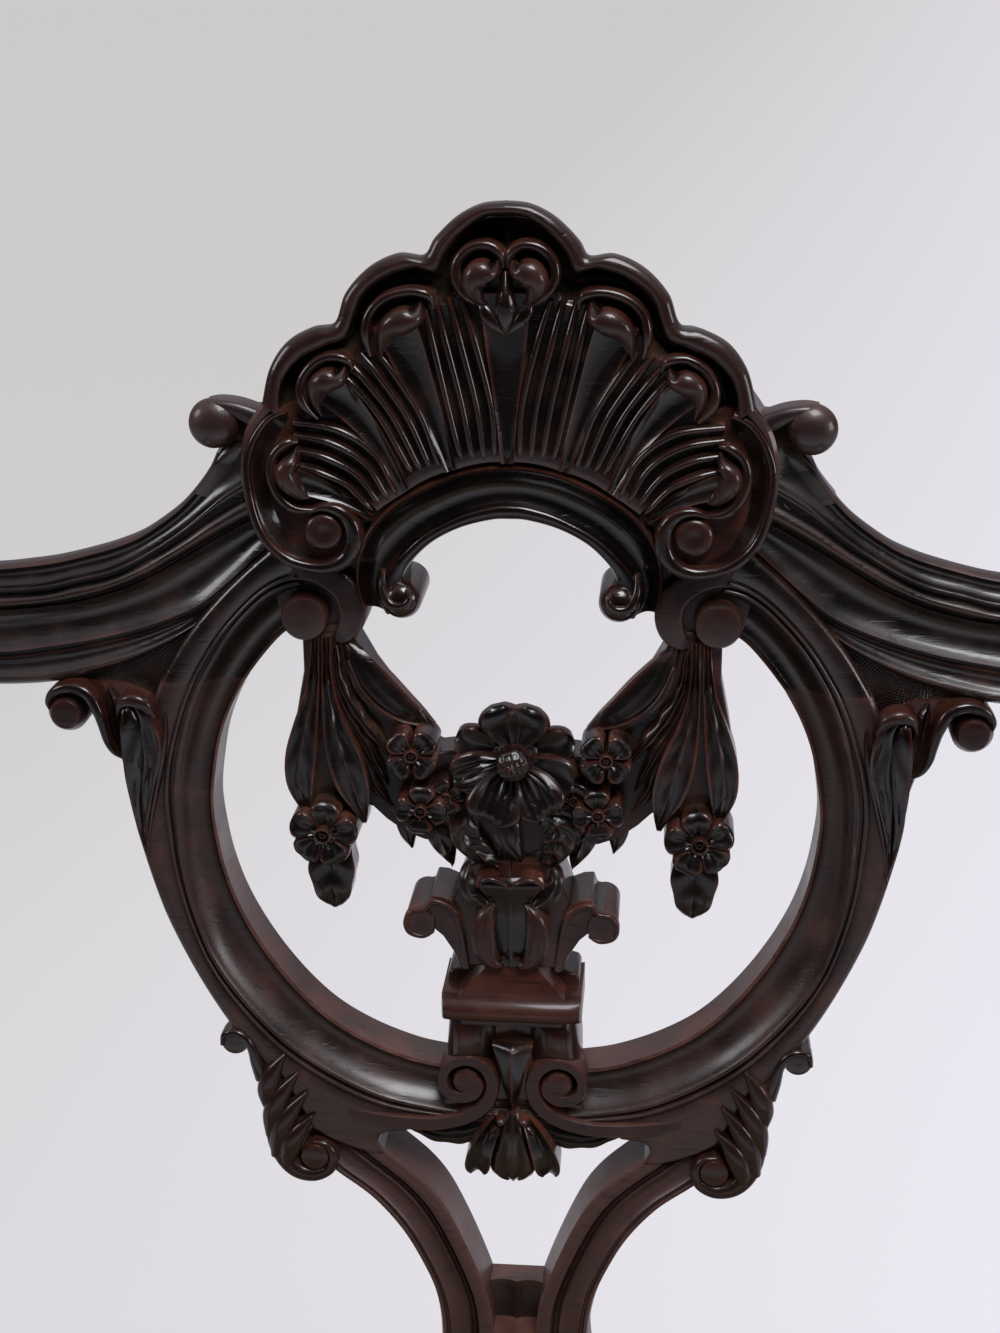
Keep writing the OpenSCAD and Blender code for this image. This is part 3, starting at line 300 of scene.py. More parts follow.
class Shape(Enum):
    """How a moulding's profile runs up to a cut."""

    FLAT = "flat"
    COVE = "cove"
    ROUND = "round"


COVE, ROUND = Shape.COVE, Shape.ROUND


@dataclass(frozen=True)
class Cut:
    """One edge of a moulding's profile.

    Attributes:
        at: Place across the guide lines: 0 is the first, 1 the second and so on.
        n: Height over the guide lines, in millimetres.
        shape: How the profile runs from the cut before.
        depth: How far that run bulges or dips, in millimetres.
    """

    at: float
    n: float = 0.0
    shape: Shape = Shape.FLAT
    depth: float = 0.0


def profile(rows: Sequence[Sequence]) -> tuple[Grid, Grid]:
    """Turn rows of what a Cut holds into the places and heights of a whole profile."""
    cuts = [Cut(*row) for row in rows]
    at, n = [cuts[0].at], [cuts[0].n]
    for a, b in zip(cuts, cuts[1:]):
        if b.shape is not Shape.FLAT:
            sign = 1.0 if b.shape is Shape.ROUND else -1.0
            for s in (0.1, 0.25, 0.42, 0.58, 0.75, 0.9):
                at.append(a.at + (b.at - a.at) * s)
                n.append(a.n + (b.n - a.n) * s + sign * b.depth * math.sin(math.pi * s) ** 0.8)
        at.append(b.at)
        n.append(b.n)
    return np.array(at), np.array(n)


def moulding(guides: Sequence[Points], cuts: Sequence[Sequence], count: int, back: float = BACK,
        caps: Sequence[bool] = (True, True), even: bool = True, tuck: Sequence[float] = (0, 0),
        rubbed: float = math.inf) -> Thing:
    """Run a moulding along guide lines, down to a flat back with eased edges.

    Args:
        guides: Lines of (u, v) or (u, v, n) points, from one edge of the moulding to the other.
        cuts: What each Cut of the profile holds, across the guide lines.
        count: How many sections are laid along them.
        back: Height of the flat back.
        caps: Whether the first and the last section are closed.
        even: Space the sections by length, or by the guides' own points.
        tuck: How far the first and the last edge lean inwards on their way to the back.
        rubbed: Place across from which the face is rubbed to a warmer brown.

    Returns:
        The moulding.
    """
    lines = [curve([(*p, 0)[:3] for p in guide], count, even) for guide in guides]
    at, n = profile(cuts)
    section = []
    for a, height in zip(at, n):
        k = min(int(a), len(lines) - 2)
        spot = lines[k] + (lines[k + 1] - lines[k]) * (a - k)
        section.append((spot[:, 0], spot[:, 1], spot[:, 2] + height))
    first, last = section[0], section[-1]
    ease = 1.0 / np.maximum(np.hypot(last[0] - first[0], last[1] - first[1]), 1e-6)
    du, dv = (last[0] - first[0]) * ease, (last[1] - first[1]) * ease
    flat = np.full(count, back)
    head, tail = tuck
    if tail:
        section.append((last[0], last[1], last[2] - 2.5))
    for edge, lean in ((last, -tail), (last, -tail - 1), (first, head + 1), (first, head)):
        section.append((edge[0] + lean * du, edge[1] + lean * dv, flat + 1.2 * (lean in (-tail, head))))
    if head:
        section.append((first[0], first[1], first[2] - 2.5))
    obj = loft(np.stack([on_back(*place) for place in section], axis=1), caps)
    if rubbed < len(guides):
        shares = np.zeros(len(obj.data.vertices), np.float32)
        across = np.concatenate([at, np.full(len(section) - len(at), at[-1])]) >= rubbed
        shares[:count * len(section)] = np.tile(across, count)
        rub(obj, shares)
    return obj


# Carving

Top = Callable[[Grid, Grid], Grid]


def blade(lift: float = 0, rib: float = 0, veins: float = 0, vein: float = 0, rim: float = 0,
        slant: float = 0.8, rib_width: float = 0.14) -> Top:
    """Describe the face of a leaf or petal.

    Args:
        lift: How far the edges stand over the middle, or under it.
        rib: Height of the midrib, negative for a groove.
        veins: How many side veins there are.
        vein: Height of the side veins.
        rim: Height of the raised edge.
        slant: How far the veins lean towards the tip.
        rib_width: Width of the midrib as a share of the half width.

    Returns:
        Height by place across, -1 to 1, and share of the length.
    """
    def top(s: Grid, t: Grid) -> Grid:
        """Height of the leaf's face."""
        rise = lift * s ** 2 + rib * np.exp(-(s / rib_width) ** 2)
        if vein:
            rise = rise + vein * np.cos(2 * np.pi * (veins * t - slant * np.abs(s))) * (1 - 0.6 * s ** 2)
        if rim:
            rise = rise + rim * np.clip((np.abs(s) - 0.66) / 0.16, 0, 1)
        return rise
    return top


def rounded(height: float) -> Top:
    """Describe a half-round strip of a height in millimetres."""
    return lambda s, t: height * (np.sqrt(np.maximum(1 - s ** 2, 0)) - 1) + 0.0 * t


def punched(depth: float, along: float, across: float) -> Top:
    """Describe a ground dotted by a punch, with so many dots along it and across it."""
    return lambda s, t: -depth * (np.sin(math.pi * along * t) * np.sin(math.pi * across * (s + 1) / 2)) ** 2


def strip(path: Points, top: Top, rows: int = 20, across: int = 9, low: Optional[float] = None,
        thick: float = 2.2, lobes: float = 0, lobe: float = 0, page: Page = on_back) -> Thing:
    """Carve a leaf, petal or ribbon along a path.

    Args:
        path: Points (u, v, n, half width) along its middle.
        top: Height of its face by place across and share of the length.
        rows: How many sections it has along the path.
        across: How many points each section has over its face.
        low: Level of its underside, or None where it follows the face.
        thick: Its thickness where the underside follows the face.
        lobes: How many lobes its edge has along its length.
        lobe: Depth of the lobes as a share of the width.
        page: Turns millimetres into places.

    Returns:
        The carved strip.
    """
    line = curve(path, rows)
    way = np.gradient(line[:, :2], axis=0)
    way /= np.linalg.norm(way, axis=1)[:, None] + 1e-9
    side = np.stack([-way[:, 1], way[:, 0]], axis=1)
    s = np.linspace(-1, 1, across)
    if across <= 9:
        s = np.sign(s) * np.abs(s) ** 0.9
    t = np.linspace(0, 1, rows)
    width = line[:, 3] * (1 - lobe * (0.5 + 0.5 * np.cos(2 * np.pi * lobes * t)))
    grid_s, grid_t = np.meshgrid(s, t)
    u, v = (line[:, i:i + 1] + side[:, i:i + 1] * width[:, None] * grid_s for i in (0, 1))
    n = line[:, 2:3] + top(grid_s, grid_t)
    under_s = np.array([0.98, 0.5, -0.5, -0.98])
    uu, vv = (line[:, i:i + 1] + side[:, i:i + 1] * width[:, None] * under_s for i in (0, 1))
    if low is None:
        nn = np.stack([np.interp(x, s, row) for row in n for x in under_s]).reshape(rows, 4)
        nn = nn - thick * np.array([0.55, 1, 1, 0.55])
    else:
        nn = np.full((rows, 4), float(low))
    return loft(page(np.hstack([u, uu]), np.hstack([v, vv]), np.hstack([n, nn])), crease=50)


def turned(centre: Sequence[float], steps: Points, sides: int = 28, page: Page = on_back,
        crease: float = 38) -> Thing:
    """Turn a round piece about an axis square to the page.

    Args:
        centre: Its centre (u, v).
        steps: Its (radius, height) pairs from the bottom up, open at neither end.
        sides: How many sides it has.
        page: Turns millimetres into places.
        crease: Angle in degrees from which an edge stays crisp.

    Returns:
        The turned piece.
    """
    angle = around(sides)
    rings = np.stack([page(centre[0] + r * np.cos(angle), centre[1] + r * np.sin(angle), np.full(sides,
        float(n))) for r, n in steps])
    return loft(rings, crease=crease)


def scroll_path(centre: Sequence[float], start: float, turns: float, r0: float, r1: float, n0: float,
        n1: float, w0: float, w1: float) -> list[Colour]:
    """Lay out a spiral for a strip.

    Args:
        centre: The eye's place (u, v).
        start: Angle of the outer end in degrees.
        turns: Turns inwards, negative for clockwise.
        r0: Radius at the outer end.
        r1: Radius at the inner end.
        n0: Height at the outer end.
        n1: Height at the inner end.
        w0: Half width at the outer end.
        w1: Half width at the inner end.

    Returns:
        Points (u, v, n, half width).
    """
    out = []
    for i in range(SPIRAL_STEPS + 1):
        t = i / SPIRAL_STEPS
        a = math.radians(start + 360 * turns * t)
        r = r0 + (r1 - r0) * t ** 0.9
        out.append((centre[0] + r * math.cos(a), centre[1] + r * math.sin(a), n0 + (n1 - n0) * t,
            w0 + (w1 - w0) * t))
    return out


def volute(centre: Sequence[float], radius: float, low: float, face: float, start: float = 90,
        turns: float = 1.4, rise: float = 1.8, page: Page = on_back) -> Thing:
    """Carve a disc with a spiral rim and an eye.

    Args:
        centre: Its centre (u, v).
        radius: Its outer radius.
        low: Level of its foot.
        face: Level of its face.
        start: Angle in degrees at which the spiral starts.
        turns: Turns of the spiral, negative for clockwise.
        rise: How far the spiral stands over the face.
        page: Turns millimetres into places.

    Returns:
        The volute.
    """
    disc = turned(centre, [(radius - 0.8, low), (radius, low + 0.8), (radius, face - 1), (radius - 0.5,
        face), (radius * 0.5, face - 0.9), (0.4, face - 0.6)], page=page)
    w = radius * 0.17
    path = scroll_path(centre, start, turns, radius - w, radius * 0.3, face + rise * 0.6, face + rise, w,
        w * 0.8)
    ridge = strip(path, rounded(rise * 0.7), rows=44, across=7, low=face - 2, page=page)
    eye = turned(centre, [(radius * 0.27, face - 1.5), (radius * 0.27, face + rise * 0.6), (radius * 0.2,
        face + rise * 1.1), (radius * 0.08, face + rise * 1.35), (0.05, face + rise * 1.4)], sides=14,
        page=page)
    return join("volute", [disc, ridge, eye])


# The splat's ring and struts

RING_OUT_HIGH = [(-92, 50), (-106, 38), (-120, 24), (-133, 8), (-144, -10)]
RING_OUT_LOW = [(-144, -10), (-152, -30), (-158, -46), (-160, -60), (-159, -72), (-156, -86), (-152, -102),
    (-147, -118), (-139, -137), (-130, -155), (-121, -170), (-110, -185), (-97, -197), (-82, -207),
    (-66, -214), (-50, -216.5), (-34, -215), (-17, -211), (0, -208)]
RING_BEAD_HIGH = [(-84, 33), (-92, 31), (-100, 26), (-109, 17), (-117, 7), (-125, -6), (-127, -10)]
RING_BEAD_LOW = [(-127, -10), (-132, -22), (-137, -39), (-140, -57), (-140, -75), (-139, -94), (-135, -115),
    (-128, -136), (-116, -155), (-99, -174), (-80, -188), (-58, -199), (-36, -204), (-18, -206),
    (0, -206.5)]
RING_IN_HIGH = [(-76, 24), (-86, 15), (-94, 9), (-102, 0), (-109.5, -10)]
RING_IN_LOW = [(-109.5, -10), (-116, -22), (-121, -35), (-124, -49), (-126, -65), (-125, -80), (-122, -97),
    (-116, -115), (-106, -134), (-93, -152), (-79, -166), (-63, -176), (-46, -183), (-33, -186),
    (-16, -188), (0, -188.5)]
RING_CUTS = ((0, -4), (0.03, -1.2), (0.1, -0.2), (0.74, -0.4, ROUND, 0.9), (0.77, 1), (0.86, 1, ROUND,
    0.35), (0.88, -1.8), (0.93, -1.9), (0.95, 0.4), (1.05, 0.3, ROUND, 0.4), (1.09, -1.2), (1.9, -7.6, COVE,
    3.6), (1.93, -6.6), (2, -7.2))
STRUT_OUT = [(-92, -226), (-86, -233), (-79, -240), (-64, -252), (-51, -268), (-42, -285), (-36, -301),
    (-33.5, -320), (-35, -342), (-44, -366), (-60, -388), (-72, -404)]
STRUT_IN = [(-72, -212), (-64, -219.5), (-57, -226.5), (-49, -233.5), (-39, -243), (-31, -254), (-23, -271),
    (-15, -292), (-11, -306), (-10, -324), (-14, -352), (-26, -376), (-44, -397), (-50, -404)]
SPANDREL = [(-117, -168), (-106, -176), (-95, -187.5), (-82, -197), (-66, -205), (-50, -210.5), (-46, -216),
    (-55, -216.8), (-59, -219), (-59.5, -222.5), (-56.5, -227.5), (-63, -228), (-71, -225.5), (-80, -222),
    (-88, -217), (-94, -205), (-100, -192.5), (-108, -181)]
STRUT_CUTS = ((0, -4.5), (0.04, -1.6), (0.1, -1.2), (0.13, -2.4), (0.17, -2.4), (0.2, -1), (0.56, -1.6,
    COVE, 2.2), (0.6, -3.4), (0.65, -1.8), (0.7, -3.4), (0.74, -0.6), (0.95, -0.8, ROUND, 0.5), (1, -1.8))


@dataclass
class Splat:
    """The pierced splat under the crest: ring, struts, feet and their join block.

    Attributes:
        foot: Level up the back's plane at which the feet stand on the shoe.
        block_face: Height of the join block's face.
    """

    foot: float = -409.2
    block_face: float = -14.0

    def ring(self) -> Thing:
        """Run the ring's moulding from the crest's joint to the bottom of the ring."""
        half = moulding([RING_OUT_LOW, RING_BEAD_LOW, RING_IN_LOW], RING_CUTS, 150, caps=(True, False))
        return half

    def strut(self) -> Thing:
        """Run one strut's moulding from the ring down to the shoe."""
        end = self.foot + 1.0
        out = STRUT_OUT + [(-76, end)]
        inside = STRUT_IN + [(-52, end)]
        return moulding([out, inside], STRUT_CUTS, 80)

    def join_block(self) -> Thing:
        """Make the small block that ties the struts together."""
        left = [(-14, -302), (-14, -312), (-14, -324), (-14, -336)]
        face = self.block_face
        cuts = ((0, face - 1.5), (0.06, face), (0.5, face, COVE, 1.6), (0.94, face, COVE, 1.6),
            (1, face - 1.5))
        return moulding([left, mirror_points(left)], cuts, 8, back=BACK + 0.4)

    def foot_fill(self) -> Thing:
        """Fill the throat between the feet, over the shoe."""
        left = [(-12, -322), (-14, -338), (-22, -352), (-32, -366), (-40, -378)]
        right = [(0, -322), (0, -330), (0, -336), (-10, -352), (-22, -371)]
        return moulding([left, right], ((0, -3), (1, -3)), 12, back=BACK + 0.7)

    def build(self) -> Thing:
        """Build the whole splat."""
        half = self.ring()
        ring = both_sides("ring", [half], 1e-5)
        spandrel = slab(SPANDREL, BACK + 0.5, 0.5, 1.2, segments=3)
        struts = both_sides("struts", [rub(self.strut()), self.foot_fill(), spandrel])
        return join("splat_board", [ring, struts, self.join_block()])


# The crest rail

RAIL_TOP = [(-100, 98), (-108, 92), (-115.5, 86), (-119.5, 78.5), (-125, 71), (-132, 63.4), (-140.5, 56.8),
    (-149, 51.4), (-158, 47.6), (-166, 45), (-177, 42), (-187, 39.8), (-198, 38.2), (-208, 37),
    (-222, 36.2), (-235, 37), (-254.5, 43), (-273.5, 52), (-290, 61), (-300, 64)]
RAIL_LINE_1 = [(-98, 70), (-108, 65), (-121, 57), (-131, 50), (-144, 42), (-155, 36), (-165, 32),
    (-178, 29), (-190, 26), (-207, 24.5), (-222, 24.5), (-236, 26), (-256, 31), (-275, 39), (-292, 47),
    (-302, 50)]
RAIL_LINE_2 = [(-94, 62), (-104, 58), (-117, 51), (-134, 41), (-145, 34.5), (-155, 30), (-166, 26),
    (-182, 22), (-208, 19), (-222, 19), (-238, 20), (-258, 24), (-277, 31), (-294, 38), (-304, 40)]
RAIL_LINE_3 = [(-86, 56), (-100, 43), (-114, 30), (-127, 20), (-146, 12), (-167, 6), (-188, 2), (-209, -1),
    (-235, -1), (-262, 1), (-285, 4), (-306, 8)]
RAIL_LOW = [(-84, 40), (-98, 32), (-112, 24), (-126, 14), (-139, 5), (-157, -4), (-174, -9.5),
    (-191, -13.5), (-212, -15), (-240, -15), (-270, -15), (-303, -15)]
RAIL_CUTS = ((0, -10), (0.05, -7.2), (0.16, -6), (0.74, -5.2, COVE, 2.4), (0.77, -3.6), (0.87, -3.6, ROUND,
    0.4), (0.9, -6.2), (1.02, -6.2), (1.05, -4.4), (1.92, -4.6, ROUND, 2.6), (1.96, -6.6), (2.02, -6.6),
    (2.05, -4.6), (2.93, -4.4, COVE, 4.6), (2.96, -6.6), (3.05, -6.6), (3.1, -4.6), (3.62, -4, COVE, 2),
    (3.7, -3.2), (3.96, -6.2, ROUND, 1), (4, -9))


@dataclass
class CrestRail:
    """The moulded top rail with its ears, end scrolls and the ring's volutes.

    Attributes:
        ear: Centre of the ear beside the shell.
        ear_r: Its radius.
        end: Centre of the scroll over the rear leg.
        end_r: Its radius.
        ring_volute: Centre of the volute's disc at the ring's top.
        ring_volute_r: The disc's radius.
    """

    ear: Pair = (-115, 97.6)
    ear_r: float = 10.0
    end: Pair = (-307.5, 50)
    end_r: float = 13.0
    ring_volute: Pair = (-82, 20)
    ring_volute_r: float = 9.3

    def wing(self) -> Thing:
        """Run the rail's moulding from the shell to the rear leg."""
        return moulding([RAIL_TOP, RAIL_LINE_1, RAIL_LINE_2, RAIL_LINE_3, RAIL_LOW], RAIL_CUTS, 120,
            tuck=(3.4, 0))

    def ring_top(self) -> Thing:
        """Run the ring's moulding above its joint."""
        return moulding([RING_OUT_HIGH, RING_BEAD_HIGH, RING_IN_HIGH], RING_CUTS, 36, back=BACK + 0.3)

    def ears(self) -> list[Thing]:
        """Carve the ear's roll and the scroll over the rear leg."""
        u, v = self.ear
        r = self.ear_r
        roll = turned(self.ear, [(r - 5.6, BACK + 1), (r - 5, BACK + 2), (r - 1.6, -9), (r - 0.4, -3),
            (r, 0), (r - 0.4, 2), (r - 2.4, 4), (r * 0.4, 5.4), (0.4, 5.6)], sides=36)
        bean = strip([(u - 3, v + 7.6, 2, 1.2), (u + 2, v + 7.4, 3.4, 2.2), (u + 9, v + 5.6, 3.6, 3.2),
            (u + 16, v + 2.6, 3.2, 3.8), (u + 23, v - 0.4, 2.6, 3.8)], rounded(2.2), rows=26, across=13,
            low=-9)
        neck = moulding([[(-111, 90), (-116, 84), (-120.5, 76), (-127, 68)], [(u + 12, v), (u + 12, v - 12),
            (u + 12, v - 24), (u + 6, v - 36)]], ((0, -8.5), (0.06, -6), (1, -5.6, COVE, 2.2)), 14,
            back=BACK + 0.6)
        bridge = moulding([[(u - 2, v + 3), (u + 5, v + 3), (u + 14, v + 3.5), (u + 22, v + 4)],
            [(u, v - 6), (u + 8, v - 8), (u + 16, v - 8), (u + 22, v - 8)]], ((0, -9), (0.1, -6.5),
            (1, -5)), 14, back=BACK + 0.9)
        end = volute(self.end, self.end_r, BACK, 1, start=150, turns=1.3)
        return [rub(roll), rub(bean), neck, bridge, end]

    def ring_volutes(self) -> list[Thing]:
        """Carve the volute at the ring's top and the crescent beside it."""
        r = self.ring_volute_r
        disc = turned(self.ring_volute, [(r, BACK + 9), (r, 4), (r - 0.6, 5), (r - 1.8, 5.4), (0.3, 5)],
            sides=36)
        band = strip([(-94, 36, -1, 3.6), (-83, 38.6, 0.6, 4.6), (-73, 36.6, 2.2, 5.2), (-65.4, 31, 3.4,
            5.6), (-62.6, 24, 4, 5.6), (-63.8, 17, 3.8, 5), (-67.4, 12.4, 3, 3.6), (-71, 10.8, 1.6, 1.2)],
            lambda s, t: -1.0 * np.clip((np.abs(s) - 0.76) / 0.24, 0, 1) ** 2 + 0.0 * t, rows=50, across=13,
            low=BACK + 9)
        throat = slab([(-95, 30), (-93, 19), (-91, 13), (-86, 9.6), (-80, 8.5), (-68, 10), (-62, 13),
            (-58.5, 20), (-57, 27), (-52, 32), (-48, 48), (-60, 66), (-96, 66)], BACK + 1.5, -3.5, 0.6)
        return [rub(disc), rub(band), throat]

    def build(self) -> Thing:
        """Build the whole crest rail."""
        return both_sides("crest_board", [self.wing(), self.ring_top(), *self.ears(), *self.ring_volutes()])


# The shell over the arch

LIP = [(0, 84), (-5, 84), (-10, 83.5), (-15, 82.5), (-20, 81), (-25, 79.5), (-30, 77.5), (-34, 75.5),
    (-38, 73), (-41, 71), (-44, 69), (-47, 67), (-50, 65)]
FAN_END = [(0, 157), (-8, 161), (-15, 157), (-20, 151), (-25, 149), (-33, 150), (-43, 148), (-49, 141),
    (-55, 131), (-62, 127), (-71, 124), (-76, 116), (-80, 102)]
RIM_IN = [(0, 178.5), (-8, 177.5), (-16, 172), (-22, 165), (-26, 158), (-34, 159), (-45, 155.5), (-54, 148),
    (-60, 134), (-68, 130), (-78, 125), (-85, 116), (-87, 104)]
RIM_OUT = [(0, 183), (-9, 182), (-18, 177.5), (-26, 170), (-30.5, 163.5), (-40, 164), (-51, 159),
    (-60, 149.5), (-64.5, 138.5), (-73, 136.5), (-83, 131), (-90, 121), (-93.5, 108)]
SHELL_CUTS = ((0, 6), (0.02, 8.6), (0.06, 9.4), (0.94, 9, COVE, 1.5), (1, 6), (1.9, 6, COVE, 5.5),
    (1.93, 9.2), (1.96, 9.6), (1.985, 12), (2.02, 13), (2.92, 12.6, ROUND, 1.5), (3, 10))
ARCH_LIP = [(0, 84), (-9, 83.5), (-22, 80.5), (-38, 73), (-48, 66), (-55, 58), (-59, 48), (-60, 38),
    (-58, 27)]
ARCH_BAND = [(0, 66.8), (-7, 66.2), (-19, 62.5), (-33, 55), (-43, 46), (-49.5, 38), (-51.5, 32),
    (-51.5, 27), (-49, 22)]
ARCH_IN = [(0, 61), (-7, 60.6), (-19, 57.4), (-30, 51.6), (-38, 44), (-41.5, 38), (-42, 33), (-41, 28),
    (-40, 24)]
ARCH_CUTS = ((0, 6), (0.06, 8.8), (0.12, 8), (0.95, 0.5, COVE, 3.6), (0.97, 2.6), (1.06, 3.6),
    (1.9, 2.6, ROUND, 0.8), (2, 0.6))
SIDE_RIM = [(-85, 105, 12.6, 1.4), (-92, 101, 12.8, 1.5), (-98, 92, 13.2, 1.7), (-100.6, 81, 13.4, 1.8),
    (-99, 66, 13.4, 1.9), (-95, 55, 13.4, 2), (-88, 47.5, 13.4, 2.1), (-80, 44, 13.4, 2.2), (-71, 43.2,
    13.4, 2.5), (-63.5, 46.5, 13.4, 2.9), (-60, 53, 13.6, 3.1), (-60.4, 60.5, 13.8, 2.9), (-64.5, 66, 14,
    2.4), (-71, 67.6, 13.6, 1.8), (-77, 65.5, 12.6, 1)]
SIDE_OUT = [(-93.5, 108), (-100, 98), (-102.5, 87), (-102.5, 76), (-100, 62), (-92, 49), (-82, 43.5),
    (-71, 41.5), (-62, 44.5), (-57.5, 51), (-56.5, 58)]
SIDE_IN = [(-70, 92), (-74, 86), (-78, 79), (-79, 71), (-79, 63), (-78, 56), (-75, 51.5), (-70.5, 50),
    (-67, 52), (-65.5, 55), (-65, 58)]
RIBS = ([(-17.5, 85), (-22.5, 108), (-27.5, 131), (-31, 146)], [(-13, 85), (-17, 108), (-22.5, 131),
    (-26.5, 147)], [(-8.6, 85), (-11.5, 108), (-17, 131), (-21.5, 148)], [(-4.4, 86), (-6, 108),
    (-11.5, 131), (-16.5, 147)], [(-36.5, 80), (-48, 102), (-58, 115), (-65, 121)], [(-33, 81),
    (-43.5, 103), (-54, 117.5), (-60, 124)], [(-29.2, 82), (-38, 103), (-48.5, 119), (-55, 127)],
    [(-25.6, 82), (-32.5, 103), (-42, 119), (-49, 128)], [(-52, 65), (-62, 76), (-72, 81), (-80, 83)],
    [(-48.6, 67), (-58.5, 80.5), (-70, 87), (-81, 89)], [(-45.4, 69), (-54.5, 84.5), (-67, 92.5),
    (-82, 95)], [(-42, 71), (-50.5, 88), (-64, 97.5), (-82, 100)])
FLUTES = ([(0, 85, 9, 2.4), (0, 105, 9.4, 4.2), (0, 128, 10.5, 7.4), (0, 150, 13, 9.5)], [(-21.5, 82, 9,
    2.2), (-28, 103, 9.4, 3.8), (-36, 124, 10.5, 6.6), (-42, 140, 13, 8)], [(-39.6, 74, 9, 2),
    (-49.5, 93, 9.4, 3.4), (-61, 108, 10.5, 5.6), (-69, 115, 13, 6.5)], [(-53.5, 63, 8, 1), (-63, 70, 8.6,
    2.6), (-73, 75, 10, 4), (-82, 78, 12, 4.6)])


